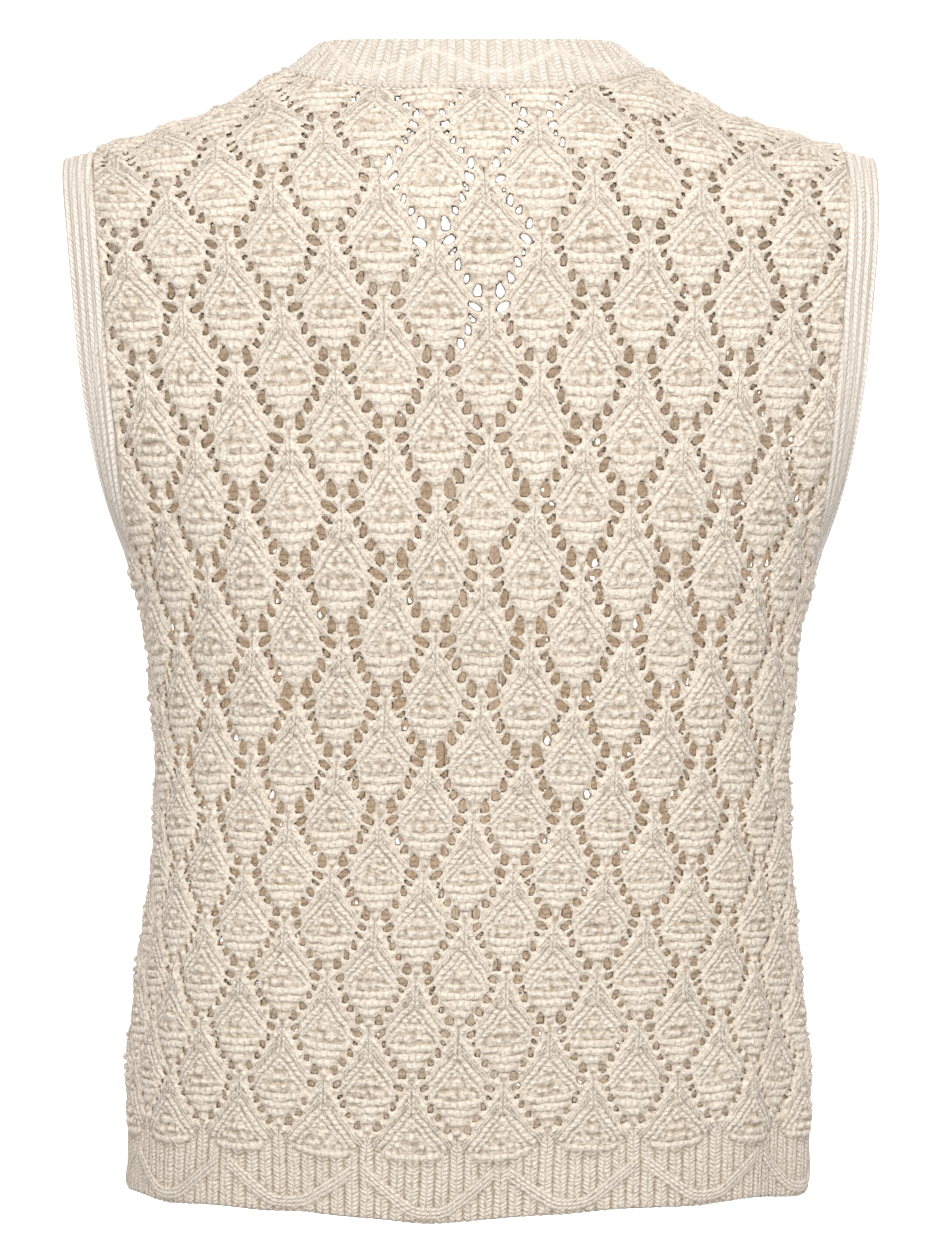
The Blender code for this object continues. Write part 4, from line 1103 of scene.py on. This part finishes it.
def mixed(tree, share, first, second):
    """Numbers mixed by a share."""
    made = node(tree, "ShaderNodeMix", data_type="FLOAT")
    for socket, value in zip(made.inputs[:4], (share, None, first, second)):
        if value is None:
            continue
        if isinstance(value, (int, float)):
            socket.default_value = value
        else:
            tree.links.new(value, socket)
    return made.outputs[0]


def times(tree, first, second, clamp=False):
    return maths(tree, "MULTIPLY", first, second, clamp=clamp)


def arch(tree, share, power):
    """Half a sine wave over a share from 0 to 1, made fuller by a power under 1."""
    return maths(tree, "POWER", maths(tree, "SINE", times(tree, share, math.pi)), power)


def noise(tree, space, scale, detail):
    made = node(tree, "ShaderNodeTexNoise")
    made.inputs["Scale"].default_value = scale
    made.inputs["Detail"].default_value = detail
    tree.links.new(space, made.inputs["Vector"])
    return made.outputs["Fac"]


def colour_by(tree, share, first, last, shader):
    """Colours a shader from one colour to another by a share."""
    ramp = node(tree, "ShaderNodeValToRGB")
    ramp.color_ramp.elements[0].color = (*first, 1.0)
    ramp.color_ramp.elements[1].color = (*last, 1.0)
    tree.links.new(share, ramp.inputs["Fac"])
    tree.links.new(ramp.outputs["Color"], shader.inputs["Base Color"])


def plain_material(name, settings):
    """A material with constants on its shader, its node tree and its shader."""
    material = bpy.data.materials.new(name)
    material.use_nodes = True
    shader = material.node_tree.nodes["Principled BSDF"]
    for socket, value in settings.items():
        shader.inputs[socket].default_value = value
    return material, material.node_tree, shader


def knit_material(name, light, dark, speckle, depth):
    """Cotton knit: V stitches, purl beads or rope from the stitch coordinates, fibre fuzz, and painted shade in
    grooves and gaps. The light colour is the lit cloth and the dark colour the cloth in full painted shade. The
    speckle is how strong the small dark gaps are, in the bump and in the painted shade, and the depth is the
    bump's, in metres."""
    material, tree, shader = plain_material(name, {
        "Roughness": 0.85, "Specular IOR Level": 0.2, "Sheen Weight": 0.08, "Sheen Roughness": 0.5,
    })
    space = node(tree, "ShaderNodeTexCoord").outputs["Object"]
    parts = node(tree, "ShaderNodeSeparateXYZ")
    tree.links.new(node(tree, "ShaderNodeUVMap", uv_map="knit").outputs["UV"], parts.inputs[0])
    slip = noise(tree, space, 210.0, 1.0)
    u = maths(tree, "ADD", parts.outputs["X"], times(tree, maths(tree, "SUBTRACT", slip, 0.5), 0.22))
    v = maths(tree, "ADD", parts.outputs["Y"], times(tree, maths(tree, "SUBTRACT", slip, 0.5), 0.9))
    within, along = maths(tree, "FRACT", u), maths(tree, "FRACT", v)

    side = maths(tree, "ABSOLUTE", maths(tree, "SUBTRACT", times(tree, within, 2.0), 1.0))
    turn = maths(tree, "FRACT", maths(tree, "SUBTRACT", v, times(tree, side, 0.9)))
    knit = times(tree, arch(tree, side, 0.55), mixed(tree, arch(tree, turn, 0.6), 0.25, 1.0))

    shifted = maths(tree, "FRACT", maths(tree, "MULTIPLY_ADD", maths(tree, "FLOOR", v), 0.5, u))
    purl = times(tree, mixed(tree, arch(tree, shifted, 0.6), 0.45, 1.0), arch(tree, along, 0.45))

    slant = maths(tree, "FRACT", maths(tree, "MULTIPLY_ADD", within, 0.7, v))
    rope = times(tree, arch(tree, within, 0.5), mixed(tree, arch(tree, slant, 0.5), 0.3, 1.0))

    kind, smooth, painted_shade = (
        node(tree, "ShaderNodeAttribute", attribute_name=mark).outputs["Fac"]
        for mark in ("purl", "smooth", "painted_shade")
    )
    pebbles = node(tree, "ShaderNodeTexVoronoi", voronoi_dimensions="2D")
    pebbles.inputs["Scale"].default_value = 1.0
    pebbles.inputs["Randomness"].default_value = 0.8
    tree.links.new(node(tree, "ShaderNodeUVMap", uv_map="knit").outputs["UV"], pebbles.inputs["Vector"])
    far = times(tree, pebbles.outputs["Distance"], 1.3, clamp=True)
    ground = maths(tree, "SUBTRACT", 1.0, maths(tree, "POWER", far, 2.0))

    stitch = mixed(tree, times(tree, kind, 1.0, clamp=True), knit, purl)
    stitch = mixed(tree, maths(tree, "SUBTRACT", kind, 1.0, clamp=True), stitch, rope)
    stitch = mixed(tree, maths(tree, "SUBTRACT", kind, 2.0, clamp=True), stitch, ground)
    stitch = mixed(tree, times(tree, smooth, 0.7), stitch, 0.9)
    fuzz = noise(tree, space, 1500.0, 3.0)
    plies = noise(tree, space, 560.0, 3.0)
    rough = maths(tree, "ADD", times(tree, fuzz, 0.2), times(tree, plies, 0.7))
    cells = node(tree, "ShaderNodeTexVoronoi")
    cells.inputs["Scale"].default_value = 620.0
    tree.links.new(space, cells.inputs["Vector"])
    gap = times(tree, maths(tree, "SUBTRACT", cells.outputs["Distance"], 0.46), 2.4, clamp=True)
    rough = maths(tree, "SUBTRACT", rough, times(tree, gap, 0.9 * speckle))
    bump = node(tree, "ShaderNodeBump")
    bump.inputs["Strength"].default_value = 1.0
    bump.inputs["Distance"].default_value = depth
    tree.links.new(maths(tree, "ADD", stitch, rough), bump.inputs["Height"])
    tree.links.new(bump.outputs["Normal"], shader.inputs["Normal"])

    # painted shade: the colour goes towards the dark one where the stitch pattern is low, in the gaps between
    # fibres, in the hollows of the plies and in the relief's hollows from the mesh attribute; the mottle is
    # random tone
    groove_shade = times(tree, maths(tree, "SUBTRACT", 1.0, stitch), 0.5)
    mottle = times(tree, maths(tree, "SUBTRACT", noise(tree, space, 9.0, 4.0), 0.5), 0.25)
    ply_shade = times(tree, maths(tree, "SUBTRACT", 0.5, plies), 0.5)
    share = maths(tree, "MULTIPLY_ADD", gap, 0.6 * speckle, groove_shade)
    share = maths(tree, "ADD", times(tree, painted_shade, 0.5), share)
    share = maths(tree, "ADD", share, maths(tree, "ADD", mottle, ply_shade), clamp=True)
    colour_by(tree, share, light, dark, shader)
    return material


def button_material():
    material, tree, shader = plain_material("pale horn", {"Roughness": 0.32, "Coat Weight": 0.2})
    cloud = noise(tree, node(tree, "ShaderNodeTexCoord").outputs["Object"], 160.0, 5.0)
    colour_by(tree, cloud, (0.50, 0.38, 0.24), (0.80, 0.70, 0.55), shader)
    return material


# ---------------------------------------------------------------- pieces
def dress_lace(label, form, side, outline, u_range, v_range, seed, openness, material, stands_for, cuts):
    """Makes a stretch of cloth as one or more meshes, cut at given columns, and ties them to the frame."""
    shell = lace_piece(form, side, outline, u_range, v_range, seed, openness)
    middle = shell["u"][shell["faces"]].mean(axis=1)
    edges = [-math.inf, *cuts, math.inf]
    for number, (low, high) in enumerate(zip(edges, edges[1:])):
        part = keep_faces(shell, (middle >= low) & (middle < high))
        close_cut(part, -1.0 if number else 1.0)
        name = label if len(edges) == 2 else f"{label}_{number + 1}"
        values = [part[key] for key in ("points", "faces", "uv", "painted_shade", "smooth", "purl")]
        piece = make_object(name, *values, material, part["normals"])
        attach(piece, "root")
        if number == 0:
            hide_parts(*stands_for)


def lengthwise_ribs(grid):
    """Relief of the ribs that run along an armhole or button band."""
    share = np.linspace(0.0, 1.0, grid.shape[1])
    return np.tile(BAND_RIB * (0.5 - 0.5 * np.cos(2 * math.pi * BAND_RIBS * share)), (len(grid), 1))


def dress_armhole(side, material):
    hand = "left" if side > 0 else "right"
    columns = 25
    halves = []
    for form in (BACK, FRONT):
        rows = []
        for r in np.linspace(0.0, ARM_BAND - GAP / 2, columns):
            line = inside_armhole(form, r)
            arc = lengths_along(line)
            at = np.linspace(0, 1, 240) * arc[-1]
            rows.append(form.place(side * np.interp(at, arc, line[:, 0]), np.interp(at, arc, line[:, 1])))
        halves.append(np.stack(rows, axis=1))
    back, front = halves
    grid = np.concatenate([back, front[::-1][1:-1]])
    if side > 0:
        grid = grid[::-1]
    stitches = (BAND_RIBS / ARM_BAND, STITCHES_PER_MM)
    piece = band_shell(f"band_armhole_{hand}", grid, lengthwise_ribs(grid), stitches, material, ring=True)
    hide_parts(f"armhole_band_{hand}")


def standing(points):
    """Direction in which the neckband stands up from its seam: up, and leaning in over the neck."""
    away = points * (1.0, 1.0, 0.0)
    length = np.linalg.norm(away, axis=1, keepdims=True)
    away = away / np.maximum(length, 1e-6)
    share = np.abs(points[:, 0:1]) / NECK_HALF
    lean = NECK_LEAN_BACK + (NECK_LEAN_SIDE - NECK_LEAN_BACK) * np.clip(share, 0, 1) ** 2
    lean = np.radians(lean)
    return np.cos(lean) * (0, 0, 1) - np.sin(lean) * away


def band_reach(base, way):
    """How far the neckband stands from its seam to its nearly level edge."""
    edge = NECK_TOP + NECK_TOP_RISE * (base[:, 0] / NECK_HALF) ** 2
    return (edge - base[:, 2]) / way[:, 2]


def dress_neckband(material):
    count = 2 * 8 * NECK_RIBS + 1
    line = back_neck_line(count)
    base = BACK.place(line[:, 0], line[:, 1])
    at = lengths_along(base)
    base[[0, -1], 1] = GAP / 2
    way = standing(base)
    rises = NECK_SEAM + (band_reach(base, way) - NECK_SEAM)[:, None] * np.linspace(0.0, 1.0, 25)
    grid = base[:, None] + way[:, None] * rises[:, :, None]
    number = np.arange(count)[:, None] / (count - 1) * NECK_RIBS + 0.02 * rises
    rib = NECK_RIB_HEIGHT * (0.5 - 0.5 * np.cos(2 * math.pi * number))
    share = winding((at - at[-1] / 2 - NECK_ZIGZAG_START) / NECK_ZIGZAG)[0]
    away = rises - (ZIGZAG_LOW + ZIGZAG_RISE * share)[:, None]
    cover = np.exp(-(away / ZIGZAG_CLEAR) ** 4)
    relief = rib * (1 - 0.9 * cover) + ZIGZAG_HEIGHT * np.exp(-(away / ZIGZAG_HALF) ** 2)
    stitches = (0.5, NECK_RIBS / at[-1])
    # shade lays an even painted shade over the whole neckband
    piece = band_shell("band_neck", grid[::-1], relief[::-1], stitches, material, turned=True,
                       smooth=0.6 * cover[::-1], shade=0.4)
    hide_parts("neckband_back")


CHAIN_RADIUS, CHAIN_PITCH, CHAIN_SIDES = 1.5, 2.9, 12
CHAIN_OUT, CHAIN_UP = 2.3, -0.55  # how far its middle stands out of the cloth and above the seam
CHAIN_SINK = 1.4  # it stands out less by this at its ends, near the shoulders
CHAIN_PLACES, CHAIN_TRIM = 460, 14  # places along the neckline, and how many of them are free at each end


def neck_chain(material):
    """The chain of stitches over the seam between the neckband and the lace."""
    line = back_neck_line(CHAIN_PLACES)[CHAIN_TRIM:-CHAIN_TRIM]
    out = CHAIN_OUT - CHAIN_SINK * np.abs(line[:, 0] / line[-1, 0]) ** 6
    seat = BACK.place(line[:, 0], line[:, 1], WALL / 2 + out)
    way = standing(seat)
    seat = seat + way * CHAIN_UP
    run = np.gradient(seat, axis=0)
    run /= np.linalg.norm(run, axis=1, keepdims=True)
    side = np.cross(run, way)
    side /= np.linalg.norm(side, axis=1, keepdims=True)
    rise = np.cross(side, run)
    at = lengths_along(seat)
    bead = CHAIN_RADIUS * (0.55 + 0.45 * np.abs(np.sin(math.pi * at / CHAIN_PITCH)) ** 0.7)
    bead[[0, -1]] *= 0.3
    sides = CHAIN_SIDES
    angle = np.arange(sides) * 2 * math.pi / sides
    ring = side[:, None] * np.cos(angle)[None, :, None] + rise[:, None] * np.sin(angle)[None, :, None]
    points = seat[:, None] + ring * bead[:, None, None]
    i, j = np.meshgrid(np.arange(len(seat) - 1), np.arange(sides), indexing="ij")
    k = (j + 1) % sides
    here, ahead = i * sides, (i + 1) * sides
    quads = np.stack([here + j, here + k, ahead + k, ahead + j], axis=-1).reshape(-1, 4)
    v = np.repeat(at[:, None] / CHAIN_PITCH, sides, axis=1).ravel()[quads]
    u = np.stack([j, j + 1, j + 1, j], axis=-1).reshape(-1, 4) / sides * 2
    uv = np.stack([u, v], axis=-1)
    # painted shade, darker where the chain narrows between its beads
    chain_shade = np.repeat((1 - bead / bead.max())[:, None], sides, axis=1).ravel() * 2.0
    calm, rope = np.zeros(len(chain_shade)), np.full(len(quads), 2.0)
    points = points.reshape(-1, 3)
    piece = make_object("neck_chain", points, quads, uv, np.clip(chain_shade, 0, 1), calm, rope, material)
    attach(piece, "root")


def dress_front_band(side, material):
    hand = "left" if side > 0 else "right"
    seam = front_seam_line(420)
    aside = offset_line(seam, 1.0) - seam
    at = lengths_along(seam)
    top = FRONT.place(side * seam[-1:, 0], seam[-1:, 1])
    end = band_reach(top, standing(top))
    narrow = (end - FRONT_BAND) * blend((at - at[-1] + NARROW_LENGTH) / NARROW_LENGTH)
    columns = 31
    grid = []
    for share in np.linspace(0.0, 1.0, columns):
        width = GAP / 2 + (FRONT_BAND - GAP / 2 + narrow) * share
        line = seam + aside * width[:, None]
        lap = overlap(FRONT, side, line[:, 0], line[:, 1])
        grid.append(FRONT.place(side * line[:, 0], line[:, 1], lap))
    grid = np.stack(grid, axis=1)
    lift = blend((at - at[-1] + STAND_LENGTH) / STAND_LENGTH)[:, None]
    way = standing(grid[:, 0])
    for j in range(1, columns):
        reach = np.linalg.norm(grid[:, j] - grid[:, 0], axis=1, keepdims=True)
        up = grid[:, 0] + way * reach
        grid[:, j] = grid[:, j] * (1 - lift) + up * lift
    grid += (way * NECK_SEAM * lift)[:, None]
    grid[-1, :, 1] = -GAP / 2
    if side < 0:
        grid = grid[::-1]
    stitches = (BAND_RIBS / FRONT_BAND, STITCHES_PER_MM)
    piece = band_shell(f"band_front_{hand}", grid, lengthwise_ribs(grid), stitches, material)
    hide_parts(f"front_band_{hand}")


# A button in its own frame, in mm: its profile from the dish over the rim to the back, and four stitched holes.
BUTTON_DISH, DISH_RADIUS = BUTTON_THICK - 0.9, BUTTON_RADIUS - 2.8  # height and radius of the dish's floor
# Columns: distance inside the rim, up.
BUTTON_PROFILE = (
    (2.3, BUTTON_DISH + 0.12), (1.7, BUTTON_THICK - 0.25), (1.1, BUTTON_THICK), (0.5, BUTTON_THICK - 0.15),
    (0.05, 2.3), (0.0, 1.6), (0.5, 0.7), (1.6, 0.0),
)
BUTTON_STEPS, HOLE_STEPS = 56, 16
HOLE_RADIUS = 0.85
HOLE_PLACES = [(1.55, 1.55), (-1.55, 1.55), (-1.55, -1.55), (1.55, -1.55)]


def circle(radius, steps, x=0.0, y=0.0):
    """Points evenly spaced on a circle."""
    angle = np.arange(steps) * 2 * math.pi / steps
    return np.stack([x + radius * np.cos(angle), y + radius * np.sin(angle)], axis=1)


def disc_with_holes(shaped, rings, turned):
    """Faces between an outer ring of points and the rings of the holes inside it."""
    corners = [corner for ring in rings for corner in ring]
    spots = np.array([corner.co.xy for corner in corners])
    edges = []
    for ring in rings:
        start = len(edges)
        edges += [(start + k, start + (k + 1) % len(ring)) for k in range(len(ring))]
    _, _, faces, sources, _, _ = delaunay_2d_cdt([Vector(p) for p in spots], edges, [], 0, 1e-6, True)
    for face in faces:
        face = [sources[k][0] for k in face]
        middle = spots[face].mean(axis=0)
        if all(math.dist(middle, hole) > HOLE_RADIUS * 0.95 for hole in HOLE_PLACES):
            shaped.faces.new([corners[k] for k in face][::-1 if turned else 1])


def dress_button(number, material):
    """A turned button with a raised rim and four stitched holes."""
    height = BUTTON_TOP + number * BUTTON_STEP
    seat = FRONT.place(0.0, height, LAP + WALL / 2 + BAND_RIB + GAP + 0.1)[0]
    ahead = FRONT.place(0.0, height, 10.0)[0] - FRONT.place(0.0, height, 0.0)[0]
    turn = Vector(ahead).to_track_quat("Z", "Y").to_matrix()
    shaped = bmesh.new()

    def ring_at(flat, up):
        return [shaped.verts.new((x, y, up)) for x, y in flat]

    def wall(first, second):
        for k in range(len(first)):
            n = (k + 1) % len(first)
            shaped.faces.new([first[k], second[k], second[n], first[n]])

    flat_holes = [circle(HOLE_RADIUS, HOLE_STEPS, x, y) for x, y in HOLE_PLACES]
    last = ring_at(circle(DISH_RADIUS, BUTTON_STEPS), BUTTON_DISH)
    upper = [ring_at(flat, BUTTON_DISH) for flat in flat_holes]
    disc_with_holes(shaped, [last, *upper], False)
    for inset, up in BUTTON_PROFILE:
        ring = ring_at(circle(BUTTON_RADIUS - inset, BUTTON_STEPS), up)
        wall(last, ring)
        last = ring
    lower = [ring_at(flat, 0.0) for flat in flat_holes]
    for first, second in zip(lower, upper):
        wall(first, second)
    disc_with_holes(shaped, [last, *lower], True)
    bmesh.ops.recalc_face_normals(shaped, faces=shaped.faces)
    mesh = bpy.data.meshes.new(f"horn_button_{number + 1}")
    shaped.to_mesh(mesh)
    shaped.free()
    mesh.transform(Matrix.Scale(MM, 4) @ Matrix.Translation(Vector(seat)) @ turn.to_4x4())
    mesh.materials.append(material)
    mesh.shade_smooth()
    piece = bpy.data.objects.new(f"horn_button_{number + 1}", mesh)
    bpy.context.collection.objects.link(piece)
    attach(piece, "root")
    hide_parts(f"button_{number + 1}")


# ---------------------------------------------------------------- the whole
# second colour of each knit: the cloth in full painted shade
lace_knit = knit_material("lace knit", (0.88, 0.785, 0.675), (0.46, 0.37, 0.275), 0.55, 0.0008)
rib_knit = knit_material("rib knit", (0.89, 0.815, 0.735), (0.58, 0.50, 0.41), 0.2, 0.0006)
horn = button_material()

ALL_OPEN = (1.0, 1.0, 1.0, 1.0, 1.0)
FRONT_OPEN = (0.5, 0.0, 0.5, 0.5, 0.66)  # the front's eyelets are drawn tighter
dress_lace("lace_back", BACK, 0, back_outline(), (-6.5, 6.5), (-2.6, 19.0), 11, ALL_OPEN, lace_knit,
           ("back_panel", "hem_back"), (0.0,))
left = front_outline()
right = left[::-1] * (-1, 1)
dress_lace("lace_front_left", FRONT, 1, left, (-0.6, 6.5), (-2.6, 19.5), 23, FRONT_OPEN, lace_knit,
           ("front_left_panel", "hem_front_left"), ())
dress_lace("lace_front_right", FRONT, -1, right, (-6.9, 0.0), (-2.6, 19.5), 37, FRONT_OPEN, lace_knit,
           ("front_right_panel", "hem_front_right"), ())
for hand in (1, -1):
    dress_armhole(hand, rib_knit)
    dress_front_band(hand, rib_knit)
dress_neckband(rib_knit)
neck_chain(rib_knit)
for number in range(BUTTON_COUNT):
    dress_button(number, horn)

# ---------------------------------------------------------------- stage, light and camera
FLOOR, STAGE_RADIUS = -0.80, 7.0
CAMERA_DISTANCE, CAMERA_HEIGHT, CAMERA_X = 2.31, -0.2676, -0.0009
FRAME_HEIGHT = 0.6024  # height of the picture at the camera's distance
SENSOR = 24.0
WORLD_STRENGTH = 0.77
LIGHT_AIM = (0.0, 0.0, -0.25)
# Columns: name, place, size, watts.
LIGHTS = (
    ("key", (-0.1, 2.1, 1.0), 1.0, 37.0),
    ("front", (-0.5, -2.2, 1.2), 1.2, 26.0),
)
# Weak warm lights inside stand for the light that the lace lets through and the cloth scatters.
GLOW_HEIGHTS = (-0.12, -0.22, -0.32, -0.42, -0.52)
GLOW_WATTS, GLOW_COLOUR, GLOW_RADIUS = 0.06, (1.0, 0.82, 0.58), 0.03


def backdrop():
    """A white floor that curves up into a round white backdrop."""
    material = plain_material("white stage", {
        "Roughness": 0.9, "Base Color": (0.9, 0.9, 0.9, 1.0),
        "Emission Color": (1.0, 1.0, 1.0, 1.0), "Emission Strength": 0.9,
    })[0]
    shaped = bmesh.new()
    bmesh.ops.create_uvsphere(shaped, u_segments=64, v_segments=32, radius=STAGE_RADIUS)
    for corner in shaped.verts:
        corner.co.z = max(corner.co.z, FLOOR)
    mesh = bpy.data.meshes.new("stage")
    shaped.to_mesh(mesh)
    shaped.free()
    mesh.shade_smooth()
    mesh.materials.append(material)
    stage = bpy.data.objects.new("stage", mesh)
    stage.visible_diffuse = stage.visible_glossy = stage.visible_shadow = False
    bpy.context.collection.objects.link(stage)


def add_object(name, data, place):
    made = bpy.data.objects.new(name, data)
    made.location = place
    bpy.context.collection.objects.link(made)
    return made


backdrop()
world = bpy.data.worlds.new("white studio")
world.use_nodes = True
background = world.node_tree.nodes["Background"]
background.inputs["Color"].default_value = (1.0, 1.0, 1.0, 1.0)
background.inputs["Strength"].default_value = WORLD_STRENGTH
bpy.context.scene.world = world
for name, place, size, watts in LIGHTS:
    lamp = bpy.data.lights.new(name, "AREA")
    lamp.shape = "RECTANGLE"
    lamp.size = lamp.size_y = size
    lamp.energy = watts
    aimed = (Vector(LIGHT_AIM) - Vector(place)).to_track_quat("-Z", "Y")
    add_object(name, lamp, place).rotation_euler = aimed.to_euler()
for height in GLOW_HEIGHTS:
    glow = bpy.data.lights.new("inside", "POINT")
    glow.energy, glow.color, glow.shadow_soft_size = GLOW_WATTS, GLOW_COLOUR, GLOW_RADIUS
    add_object("inside", glow, (0.0, 0.0, height)).visible_camera = False

camera = bpy.data.cameras.new("camera")
camera.sensor_fit = "VERTICAL"
camera.sensor_height = SENSOR
camera.lens = SENSOR * CAMERA_DISTANCE / FRAME_HEIGHT
camera.clip_start, camera.clip_end = 0.05, 50.0
camera_object = add_object("camera", camera, (CAMERA_X, CAMERA_DISTANCE, CAMERA_HEIGHT))
camera_object.rotation_euler = (math.pi / 2, 0.0, math.pi)
bpy.context.scene.camera = camera_object
bpy.context.scene.view_settings.view_transform = "Standard"
